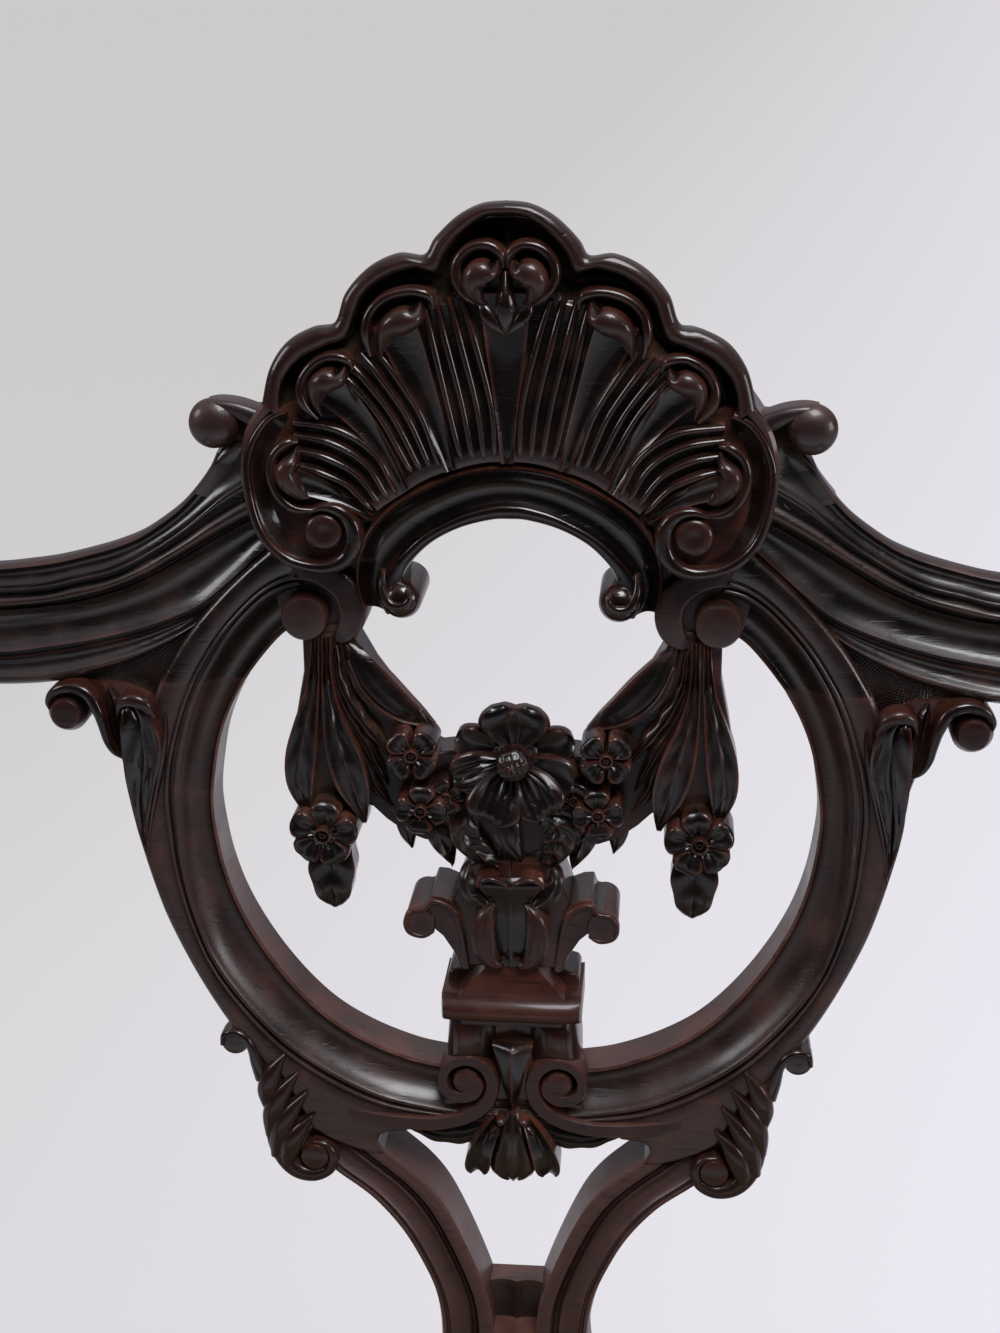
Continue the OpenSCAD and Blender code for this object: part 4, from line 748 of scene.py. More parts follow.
@dataclass
class Shell:
    """The carved shell: scalloped rim, fluted fan, curls, side scrolls and the arch under it.

    Attributes:
        rib_half: Half width of a thin rib of the fan.
        rib_rise: How far a rib stands over the fan.
        disc: Centre of the side scroll's disc.
        disc_r: Its radius.
        knob: Centre of the arch's end knob.
        knob_r: Its radius.
    """

    rib_half: float = 1.7
    rib_rise: float = 3.6
    disc: Pair = (-71.5, 57.5)
    disc_r: float = 7.6
    knob: Pair = (-43, 28)
    knob_r: float = 8.0

    def fan(self) -> list[Thing]:
        """Build the fan with its cove and scalloped rim, and the arch under it."""
        fan = moulding([LIP, FAN_END, RIM_IN, RIM_OUT], SHELL_CUTS, 145, caps=(False, True), even=False,
            tuck=(0, 5), rubbed=1.98)
        arch = moulding([ARCH_LIP, ARCH_BAND, ARCH_IN], ARCH_CUTS, 80, caps=(False, True))
        return [fan, arch]

    def side(self) -> list[Thing]:
        """Carve the side scroll: a deep hollow, a thin rim and the disc that it ends round."""
        cuts = ((0, 11.5), (0.05, 12.6), (0.16, 11.6), (0.8, 3, COVE, 3), (1, 4))
        hollow = moulding([SIDE_OUT, SIDE_IN], cuts, 50, back=BACK + 1.8, rubbed=0)
        floor = slab([(-44, 64), (-50, 84), (-64, 98), (-82, 107), (-93, 105), (-98, 94), (-100, 78),
            (-97, 62), (-90, 50), (-78, 45), (-66, 45), (-58, 52), (-56, 60)], BACK + 2.1, 5.5, 0)
        rim = strip(SIDE_RIM, rounded(1.5), rows=70, across=7, low=3)
        r = self.disc_r
        disc = turned(self.disc, [(r, 0), (r, 10.6), (r - 0.7, 11.8), (r - 2.2, 12.4), (r * 0.3, 12),
            (0.2, 11.6)])
        spiral = strip(scroll_path((-71, 58), 40, 0.44, 13, 9.2, 2.6, 2.2, 2.2, 1), rounded(1), rows=30,
            low=-4)
        return [hollow, floor, rim, rub(disc), spiral]

    def ribs(self) -> list[Thing]:
        """Lay the thin ribs and the wide flutes between them."""
        out = []
        for a, b, c, d in RIBS:
            path = [(*a, 7.6, 1), (*toward(a, b, 4), 10.2, self.rib_half), (*b, 11.6, self.rib_half),
                (*c, 12.6, self.rib_half * 1.1), (*d, 11, self.rib_half * 0.9)]
            out.append(strip(path, rounded(self.rib_rise * 0.8), rows=26, across=9, low=4))
        for path in FLUTES:
            out.append(strip(path, blade(lift=1.6), rows=20, across=11, low=4))
        return out

    def curl(self, hood: Points, head: Points) -> list[Thing]:
        """Carve one curl: the hood round it and the comma inside.

        Args:
                hood: Points (u, v) along the hood's crest.
            head: Points (u, v, n, half width) of the comma, from its hook to its tail.

        Returns:
            The curl's pieces.
        """
        ends = len(hood) - 1
        crest = [(u, v, 15.0 - (2.5 if i in (0, ends) else 0), 0.7 if i in (0, ends) else 1.9) for i,
            (u, v) in enumerate(hood)]
        return [strip(crest, rounded(1.7), rows=26, across=7, low=4), rub(strip(head, rounded(3.6), rows=26,
            across=9, low=5))]

    def curls(self) -> list[Thing]:
        """Carve the three curls of a side, half the heart and its leaf."""
        out = self.curl([(-51, 126), (-52.5, 134), (-51, 142), (-45, 148), (-36, 150.5), (-28.5, 149),
            (-27, 144)], [(-31.5, 147, 13, 0.8), (-33, 142, 18.5, 3.4), (-38, 140, 20, 5.2), (-43, 137, 19,
            4.6), (-46, 131, 16, 2.6), (-47, 125, 12, 0.6)])
        out += self.curl([(-72, 102), (-77, 108), (-78, 115), (-74, 122), (-67, 126), (-60, 125),
            (-58, 121)], [(-60.5, 123, 13, 0.7), (-62.5, 118.5, 18, 3), (-67, 117.5, 19.6, 4.8),
            (-71, 114.5, 18.6, 4.2), (-72, 108.5, 15.5, 2.4), (-70.5, 103, 12, 0.6)])
        out += self.curl([(-74, 66.5), (-82, 67), (-88, 72), (-91, 80), (-89.5, 88), (-84, 93), (-80, 93)],
            [(-80.5, 91, 12, 0.7), (-82, 86.5, 17.5, 2.6), (-85, 82, 18.6, 4), (-83.5, 77, 18, 4),
            (-79.5, 72.5, 15.5, 2.6), (-76, 71, 12, 0.7)])
        out += self.curl([(-7, 145), (-13, 148), (-18, 154), (-18, 161), (-13, 166.5), (-6, 167.5),
            (-1.5, 164), (-0.8, 159)], [(-2.5, 162, 14, 0.8), (-4, 158.5, 19.5, 3), (-9, 157.5, 21, 5.4),
            (-11.5, 153, 20, 4.6), (-9.5, 148, 17, 2.6), (-6, 146, 13, 0.6)])
        out.append(strip([(-9, 149, 12, 0.8), (-8, 144, 14, 2.6), (-5, 139.5, 14.5, 2.6), (-1.5, 135.5, 13,
            1.6), (0.2, 133.5, 11, 0.4)], rounded(1.6), rows=16, low=6))
        out.append(strip([(0, 158, 13, 1), (0, 150, 16, 3), (0, 143, 16, 3.6), (0, 137, 14.5, 2),
            (0, 133.6, 12, 0.4)], blade(lift=-2), rows=16, low=6))
        return out

    def knobs(self) -> list[Thing]:
        """Turn the knob at the arch's end and the small curl on it."""
        r = self.knob_r
        u, v = self.knob
        knob = turned(self.knob, [(r - 1, BACK + 0.5), (r, BACK + 1.5), (r, 1.5), (r - 1, 4.4),
            (r - 3, 6.4), (r - 5.5, 7.2), (0.2, 7.4)])
        curl = strip([(u - 7, v + 12, 3.6, 1.2), (u - 7, v + 5, 6.4, 1.7), (u - 4, v - 0.6, 8.2, 1.9),
            (u + 1, v - 1.2, 8.8, 1.7), (u + 3.8, v + 2, 8.6, 1.2), (u + 2.6, v + 5.4, 7.8, 0.6)],
            rounded(1.3), rows=26, across=7, low=0)
        return [knob, curl]

    def build(self) -> Thing:
        """Build the whole shell."""
        sheet, vault = (both_sides("shell_half", [half], 1e-5) for half in self.fan())
        rest = both_sides("shell_carving", self.side() + self.ribs() + self.curls() + self.knobs())
        return join("shell", [sheet, vault, rest])


def toward(a: Sequence[float], b: Sequence[float], step: float) -> Pair:
    """Give the point a step in millimetres from one point towards another."""
    length = math.hypot(b[0] - a[0], b[1] - a[1])
    return (a[0] + (b[0] - a[0]) * step / length, a[1] + (b[1] - a[1]) * step / length)


def slab(outline: Points, low: float, high: float, ease: float = 0.8, segments: int = 2) -> Thing:
    """Saw a flat piece to an outline and ease its edges.

    Args:
        outline: Points (u, v) round it.
        low: Level of its back.
        high: Level of its face.
        ease: Width of the eased edge in millimetres.
        segments: Steps of the eased edge.

    Returns:
        The sawn piece.
    """
    pts = np.asarray(outline, float)
    obj = loft([on_back(pts[:, 0], pts[:, 1], np.full(len(pts), float(n))) for n in (low, high)])
    if ease:
        eased(obj, ease, segments)
    return obj


def eased(obj: Thing, width: float, segments: int = 2, angle: float = 38) -> None:
    """Ease an object's sharp edges by a width in millimetres."""
    take(obj)
    bevel = obj.modifiers.new("ease", "BEVEL")
    bevel.width = width * MM
    bevel.segments = segments
    bevel.limit_method = "ANGLE"
    bevel.angle_limit = math.radians(angle)
    bevel.use_clamp_overlap = True
    bpy.ops.object.modifier_apply(modifier=bevel.name)
    smooth(obj)


# Leaves at the rail's brackets and under the ring

@dataclass
class Bracket:
    """The leafy bracket in the corner between the crest rail and the ring.

    Attributes:
        disc: Centre of its scroll.
        disc_r: The scroll's radius.
    """

    disc: Pair = (-184, -25)
    disc_r: float = 8.4

    def ground(self) -> Thing:
        """Lay the punched ground between the rail and the ring."""
        path = [(-190, -17, -9.5, 2), (-176, -14, -8.6, 6), (-160, -12, -8, 9), (-146, -7, -8, 11),
            (-134, 4, -8, 9), (-122, 20, -8, 3)]
        return strip(path, punched(0.45, 58, 17), rows=240, across=69, low=BACK + 1)

    def build(self) -> Thing:
        """Build the left bracket."""
        u, v = self.disc
        r = self.disc_r
        board = moulding([[(u - 6, v + 7), (u + 5, v + 7), (-172, -27), (-167, -36), (-163, -46),
            (-160, -58), (-157, -70), (-153, -82)], [(u - 2, v + 13), (u + 8, v + 13), (-160, -13),
            (-151, -19), (-147, -30), (-147, -46), (-149, -62), (-151, -80)]], ((0, -7), (0.1, -5),
            (1, -4.5)), 40, back=BACK + 0.5)
        scroll = turned(self.disc, [(r - 1, BACK), (r, BACK + 1), (r, -4), (r - 1, -2.6), (r - 1.6, -0.4),
            (r - 2.4, 0.6), (r - 4, 0.9), (0.4, 0.6)])
        hook = strip([(u - 7.6, v + 1, -2.5, 0.7), (u - 7.6, v + 5, -0.6, 1.4), (u - 4, v + 9.8, 1, 2),
            (u + 3, v + 12, 2, 2.3), (u + 10, v + 9.4, 2.6, 2.5), (u + 13.8, v + 2.4, 2.8, 2.3),
            (-168.4, -30, 2.2, 2), (-167.2, -36, 1.6, 1.8), (-164.6, -41, 1, 1.5), (-160.6, -44, 0.4, 0.7)],
            rounded(1.6), rows=50, across=9, low=-8)
        wedge = strip([(u + 18, v + 12, -3, 0.6), (-164.5, -20, -1, 2.8), (-163.4, -29, -0.6, 3.2),
            (-161.6, -40, -0.6, 2.2), (-159.5, -52, -0.6, 0.8)], blade(lift=-1.6, rib=-0.9), rows=24,
            low=-8)
        leaf = strip([(-157.5, -16, 1.6, 1.6), (-154.4, -20, 4.6, 5), (-152.2, -28, 5.4, 7.6),
            (-152, -39, 4.8, 8.2), (-153.5, -52, 3.8, 6.2), (-154.5, -65, 2.4, 3.8), (-154.5, -78, 1.2,
            1.6), (-153, -88, 0.2, 0.5)], blade(lift=-0.6, rib=-1.4, veins=3.5, vein=0.3, rim=0.7), rows=44,
            across=15, low=-4)
        lip = strip([(-161.6, -24, 2.6, 0.8), (-159.4, -18.6, 5.4, 2.2), (-154.6, -16.2, 7, 3),
            (-149.2, -18.2, 6.8, 2.8), (-145.6, -24, 4.6, 1.2)], rounded(2.2), rows=30, across=11, low=-3)
        ridge = strip([(-142, -23, 1.6, 0.7), (-142.6, -32, 3, 1.4), (-145, -45, 3.2, 1.5), (-148.2, -59,
            2.4, 1.3), (-151.6, -74, 1.4, 1), (-153.8, -90, 0.2, 0.4)], rounded(1.3), rows=36, across=7,
            low=-4)
        return join("bracket_left", [rub(self.ground()), board, rub(scroll), hook, wedge, leaf, rub(lip),
            ridge])


@dataclass
class LowerScroll:
    """The acanthus scroll where a strut leaves the ring.

    Attributes:
        roll: Centre of the small roll at its top.
        volute: Centre of the volute at its foot.
    """

    roll: Pair = (-121.5, -176)
    volute: Pair = (-87.4, -229)

    def build(self) -> Thing:
        """Build the left scroll."""
        u, v = self.roll
        roll = turned(self.roll, [(5.4, BACK), (6.2, BACK + 1), (6.2, -2.6), (5.6, -1.4), (2, -1),
            (0.2, -1.2)], sides=24)
        hook = strip([(u - 5.4, v - 1, 0.2, 1), (u - 4, v + 4, 0.8, 1.5), (u + 1, v + 5.6, 1.6, 1.7),
            (u + 5.5, v + 3, 2, 1.8), (u + 8, v - 2.5, 2, 2), (u + 9.5, v - 9, 1.8, 2.6), (u + 12, v - 17,
            1.4, 3.4)], rounded(1.4), rows=34, low=-8)
        body_path = [(-113, -179, -1, 1.6), (-108.6, -190, 0.4, 2.6), (-106.2, -203, 1.4, 3.4),
            (-105.8, -217, 2, 4), (-103, -229, 2.6, 4.2), (-97, -237, 3.2, 4), (-88.6, -239.2, 3.6, 3.4),
            (-81.4, -235.6, 3.8, 2.8), (-79.4, -229, 3.8, 2.2), (-82.4, -223.4, 3.4, 1.6), (-88, -222, 2.8,
            0.8)]
        back = strip([(a, b, -3, max(w - 0.2, 0.6)) for a, b, _, w in body_path], blade(), rows=70,
            low=BACK)
        body = strip(body_path, rounded(2.2), rows=70, across=11, low=-6)
        disc = turned(self.volute, [(6.4, -8), (6.4, 2.6), (5.8, 3.8), (3.2, 4.4), (0.2, 4.2)], sides=28)
        fill = slab([(-114, -181), (-110, -192), (-107, -208), (-108, -222), (-101, -234), (-92, -238),
            (-80, -232), (-78, -222), (-90, -206), (-102, -188)], BACK + 0.7, -4.5)
        leaves = []
        for i, (base, belly, shoulder, tip) in enumerate(([(-107.4, -208), (-107.4, -198), (-104.6, -188.5),
                (-99, -179.5)], [(-107.4, -221), (-105.4, -209), (-100.8, -198.5), (-93.4, -188)],
                [(-105.4, -231), (-102.4, -218), (-97.4, -207.5), (-90, -197.5)], [(-100.4, -236),
                (-98.4, -225.5), (-94.4, -217), (-87.6, -209)])):
            path = [(*base, 1.6 + 0.4 * i, 2.4), (*belly, 4.0 + 0.5 * i, 4.6), (*shoulder, 4.0 + 0.5 * i,
                3.8), (*tip, 1.6 + 0.4 * i, 0.9)]
            leaves.append(rub(strip(path, rounded(2.6), rows=30, across=13, low=-5)))
        return join("lower_scroll_left", [roll, hook, back, rub(body), rub(disc), fill, *leaves])


# The garland

@dataclass(frozen=True)
class Flower:
    """A carved flower.

    Attributes:
        centre: Its centre (u, v).
        face: Height of its middle.
        radius: Radius over the petals in millimetres.
        petals: How many petals it has.
        start: Angle of the first petal in degrees.
        low: Level of its back.
        eye: Radius of its middle as a share of the whole.
        hatched: Whether its middle is a hatched dome, and not a ring.
        creases: How many creases each petal has.
    """

    centre: Pair
    face: float
    radius: float
    petals: int = 4
    start: float = 45.0
    low: float = -4.0
    eye: float = 0.27
    hatched: bool = False
    creases: float = 2.0

    def petal(self) -> Thing:
        """Carve one petal, pointing across to the right."""
        r = self.radius
        wide = math.sin(math.pi / self.petals) * 0.74
        fat = min(wide, 0.5)
        path = [(0.10 * r, 0, self.face - 0.16 * r, 0.10 * r), (0.3 * r, 0, self.face - 0.13 * r,
            0.5 * fat * r), (0.55 * r, 0, self.face - 0.03 * r, 0.94 * fat * r), (0.76 * r, 0, self.face,
            fat * r), (0.9 * r, 0, self.face - 0.05 * r, 0.8 * fat * r),
            (0.975 * r, 0, self.face - 0.12 * r, 0.5 * fat * r), (r, 0, self.face - 0.2 * r,
            0.16 * fat * r)]

        def top(s: Grid, t: Grid) -> Grid:
            """Cup the petal, crease it towards the middle and roll its edge over."""
            cup = 0.11 * r * np.abs(s) ** 1.6 * np.clip(1.3 - t, 0.2, 1)
            fold = -0.035 * r * np.cos(2 * np.pi * self.creases * s) * np.clip(1.15 - 1.3 * t, 0, 1)
            edge = -0.13 * r * np.clip((np.abs(s) - 0.72) / 0.28, 0, 1) ** 2
            return cup + fold + edge
        return strip(path, top, rows=18, across=13, low=self.low, page=lambda u, v, n: np.stack([u + 0 * v,
            v + 0 * u, n + 0 * u], axis=-1))

    def middle(self) -> Thing:
        """Turn the ring or the hatched dome in the flower's middle."""
        r = self.radius * self.eye
        top = self.face + 0.02 * self.radius
        if not self.hatched:
            steps = [(r, self.low), (r, top - 0.3 * r), (0.92 * r, top + 0.3 * r), (0.74 * r,
                top + 0.4 * r), (0.6 * r, top + 0.2 * r), (0.5 * r, top - 0.2 * r), (0.36 * r,
                top - 0.2 * r), (0.3 * r, top + 0.2 * r), (0.18 * r, top + 0.24 * r), (0.1 * r,
                top - 0.4 * r), (0.02, top - 0.5 * r)]
            return turned(self.centre, steps, sides=18)
        angle = around(48)
        rings = []
        for i in range(17):
            tilt = math.pi / 2 * i / 16
            rr = r * math.cos(tilt) * (1.0 if i < 16 else 0.02 / max(math.cos(tilt), 1e-3) / r)
            u, v = rr * np.cos(angle), rr * np.sin(angle)
            cut = 0.5 * np.maximum(np.cos((u + 0.4 * v) * 2.9), np.cos((v - 0.3 * u) * 2)) - 0.5
            rings.append(on_back(self.centre[0] + u, self.centre[1] + v,
                top - 0.35 * r + 0.75 * r * math.sin(tilt) + 0.9 * cut * math.sin(tilt) ** 0.5))
        base = on_back(self.centre[0] + r * np.cos(angle), self.centre[1] + r * np.sin(angle),
            np.full(48, self.low))
        return loft([base, *rings], crease=60)

    def build(self) -> list[Thing]:
        """Copy the petal round the flower and set its middle."""
        first = self.petal()
        up = Matrix(((1, 0, 0, 0), (0, math.sin(RECLINE), -math.cos(RECLINE), 0), (0, math.cos(RECLINE),
            math.sin(RECLINE), 0), (0, 0, 0, 1)))
        origin = Vector(on_back(np.array(float(self.centre[0])), np.array(float(self.centre[1])),
            np.array(0)))
        out = []
        for i in range(self.petals):
            spin = Matrix.Rotation(math.radians(self.start + 360 * i / self.petals), 4, "Z")
            lift = Matrix.Translation(Vector((0, 0, (0.5 if i % 2 else 0))))
            move = Matrix.Translation(origin) @ up @ Matrix.Scale(MM, 4) @ lift @ spin
            out.append(copied(first, move))
        bpy.data.objects.remove(first)
        out.append(self.middle())
        return out


FLOWERS = (Flower((-39, -34), 14, 11.2, 4, 45), Flower((-36, -58.5), 12.5, 10.6, 4, 85, low=-6),
    Flower((-26, -54), 8.5, 8, 4, 20, low=-8), Flower((-77, -71.5), 10, 14.4, 5, 82, low=-10, creases=1.5))
BIG_FLOWER_PETALS = ((158, 25, 7.8, 11, 1), (20, 25, 8, 10.5, 1), (219, 25.5, 7.8, 12, 2), (196, 26.5, 8.4,
    13, 2), (341, 26.5, 8.6, 12.4, 1), (302, 27.5, 11, 14, 3), (248, 28.5, 12, 15, 3), (105, 24.5, 9.4,
    14.6, 1), (72, 24.5, 9.4, 15.2, 1))
SWAG_LEAVES = ((False, [(-66, 9, 1, 2), (-61, 1, 3.6, 5.4), (-54.5, -8.5, 4.6, 7.6), (-46, -17, 4.6, 6.8),
    (-38, -22.4, 3.6, 4.4), (-31, -26, 2, 0.6)], dict(lift=-1.6, rim=0, rib=-0.5)), (True, [(-70, 8, 2,
    1.2), (-68.4, -7, 4, 2.4), (-63, -18.5, 5, 3), (-57, -27, 5.6, 2.8), (-51, -35, 5, 1.8), (-47, -42, 3,
    0.5)], dict(lift=-1.6, rib=-0.9)), (True, [(-72, 7, 1.6, 1.2), (-71, -9, 3.2, 2.2), (-66, -22, 4.2,
    2.8), (-59.4, -32.5, 4.8, 2.8), (-54.6, -43, 4.2, 2.2), (-50.5, -52, 2, 0.6)], dict(lift=-1.6,
    rib=-0.9)), (True, [(-73, 4, 1, 1.2), (-72.6, -14, 2.4, 2.2), (-66.4, -29, 3.2, 3), (-60, -41, 3.6,
    3.4), (-55.4, -53, 3, 2.8), (-49, -62, 1, 0.8)], dict(lift=-1.6, rib=-0.9)),)
PENDANT_LEAVES = ([(-78, 12, 3, 1.4), (-79.2, -7, 5.2, 2.4), (-82.6, -24, 6.8, 4.8), (-85.2, -38, 7.4, 6.2),
    (-86, -50, 6.8, 5.4), (-84.6, -60, 5, 2.8), (-83.5, -66, 3, 0.8)], [(-73.6, 12, 3, 1.6), (-73.4, -7,
    5.2, 2.2), (-71.4, -22, 6.4, 4.2), (-67.6, -37, 7.2, 6.8), (-64.2, -50, 6.8, 6.6), (-61.8, -60, 5, 3.8),
    (-60.4, -68.5, 2.6, 0.8)],)
HANGING_LEAVES = ((True, [(-42, -60, -4, 3), (-43.5, -68, -2, 5), (-43.4, -76, -2, 3.4), (-42, -82.5, -4,
    0.6)], 0, 0), (True, [(-33, -62, -3, 3), (-30.4, -72, 1, 5.6), (-27.4, -81, 1, 4), (-25, -89.5, -3,
    0.6)], 0.5, 3), (False, [(-12, -56, 4, 3), (-18.6, -64, 7, 5.6), (-18.4, -73, 7, 5.8), (-12.6, -80, 6,
    4.8), (-6.4, -86, 3, 2.4), (-4, -88.4, 1, 0.5)], 0.7, 4), (False, [(8, -56, 4, 3), (16, -61, 8, 6),
    (20.6, -68, 8.6, 6.6), (18.6, -77, 7, 6), (14.6, -84, 4, 3.4), (12.6, -87.6, 1, 0.6)], 1.1, 6),
    (False, [(1, -58, 3, 3), (-1.6, -66, 7, 5), (-0.6, -75, 7, 4.8), (3, -82, 4, 2.6), (4.4, -86, 1, 0.5)],
    0, 0), (False, [(-30, -54, 2, 2), (-25, -62, 5, 4.4), (-21.6, -71, 3, 3.4), (-20, -79, 0, 0.6)], 0, 0),
    (False, [(24, -54, 2, 2), (25.6, -64, 4, 4.8), (26.6, -74, 2, 4), (28.6, -83, -1, 0.6)], 0.5, 3),)


@dataclass
class Garland:
    """The leafy swags, the two pendants and the bouquet.

    Attributes:
        bouquet: Centre of the big flower.
        bouquet_face: Height of its middle.
    """

    bouquet: Pair = (2, -36)
    bouquet_face: float = 18.0

    def board(self) -> list[Thing]:
        """Saw the board that the swags and the pendants are carved from."""
        half = [(1, -34), (-14, -35), (-23, -37), (-30, -38), (-38, -29), (-46, -16), (-56, -2), (-62, 9),
            (-66, 16), (-84, 14), (-84, -4), (-88, -24), (-91, -44), (-88, -62), (-82, -70), (-70, -72),
            (-66, -66), (-58, -62), (-52, -68), (-44, -74), (-36, -77), (-28, -78), (-18, -79), (-8, -82),
            (1, -82)]
        return [slab(half, BACK + 8, -0.5, 1.2)]

    def leaves(self) -> list[Thing]:
        """Carve the leaves of one side."""
        out = []
        for wavy, path, face in SWAG_LEAVES:
            out.append(strip(path, blade(**face), rows=44 if wavy else 30, across=11, low=-3,
                lobes=5 if wavy else 0, lobe=0.3 if wavy else 0))
        out.append(strip([(-65, 2, 3.8, 0.6), (-60.4, -9, 5.4, 0.8), (-53.6, -17, 6.2, 0.8), (-44.6, -22.6,
            5.6, 0.8), (-36, -24.6, 4.2, 0.5)], rounded(0.6), rows=30, across=7, low=0))
        for path in PENDANT_LEAVES:
            out.append(strip(path, blade(lift=-0.4, rib=0.9, veins=5, vein=0.25, rim=1), rows=40, across=15,
                low=-8))
        out.append(strip([(-76, -72, -2, 6), (-75.6, -84, 1.4, 9.6), (-75.4, -95, 2.4, 9.6), (-75.2, -103,
            1.6, 7.4), (-75, -108.4, -0.6, 3.6), (-75, -110, -2.4, 1)], blade(lift=-1.6, rib=-1.2, veins=3,
            vein=0.5, slant=0.5), rows=34, across=15, low=-12, lobes=3, lobe=0.08))
        return out

    def flowers(self) -> list[Thing]:
        """Carve the small flowers of one side."""
        out = []
        for flower in FLOWERS:
            out += flower.build()
        return out

    def big_flower(self) -> list[Thing]:
        """Carve the big flower, its creased petals and its hatched middle."""
        u, v = self.bouquet
        face = self.bouquet_face
        out = []
        for angle, reach, wide, tip, creased in BIG_FLOWER_PETALS:
            a = math.radians(angle)
            ca, sa = math.cos(a), math.sin(a)

            def spot(r: float, n: float, w: float) -> Colour:
                """Give a point of the petal's middle line."""
                return (u + ca * r, v + sa * r, n, w)
            path = [spot(3, tip - 6, 1.5), spot(8, tip - 5, wide * 0.5), spot(13, tip - 3.6, wide * 0.82),
                spot(reach * 0.72, tip - 1.6, wide), spot(reach * 0.86, tip - 0.8, wide * 0.93),
                spot(reach * 0.95, tip - 1.4, wide * 0.72), spot(reach * 0.99, tip - 2.6, wide * 0.45),
                spot(reach, tip - 3.6, wide * 0.3)]

            def top(s: Grid, t: Grid, creased: float = creased) -> Grid:
                """Cup the petal, crease it towards the middle and roll its edge over."""
                cup = 2.6 * np.abs(s) ** 1.6
                fold = 0.8 * np.cos(2 * np.pi * creased * s) * np.clip(1.3 - 1.2 * t, 0, 1) * (creased > 1)
                edge = -3.6 * np.clip((np.abs(s) - 0.76) / 0.24, 0, 1) ** 2
                return cup + fold + edge
            out.append(strip(path, top, rows=28, across=21, thick=3.4))
        out.append(turned((u, v - 2), [(15, -4), (14.6, 1), (12, 5), (6, 8.4), (0.2, 9)], sides=24))
        middle = Flower((u, v), face - 1, 27, eye=0.265, hatched=True)
        out.append(middle.middle())
        return out

    def hanging(self) -> list[Thing]:
        """Carve the leaves that hang under the bouquet."""
        out = []
        for paired, path, vein, veins in HANGING_LEAVES:
            piece = strip(path, blade(lift=-1.8, rib=1.0 if vein else -0.8, veins=veins, vein=vein),
                rows=26, across=15, low=-9)
            out.append(piece)
            if paired:
                out.append(mirrored(piece))
        return out

    def build(self) -> Thing:
        """Build the whole garland."""
        sides = both_sides("swags", self.board() + self.leaves() + self.flowers())
        return join("garland", [sides, *self.big_flower(), *self.hanging()])


# The pedestal under the bouquet

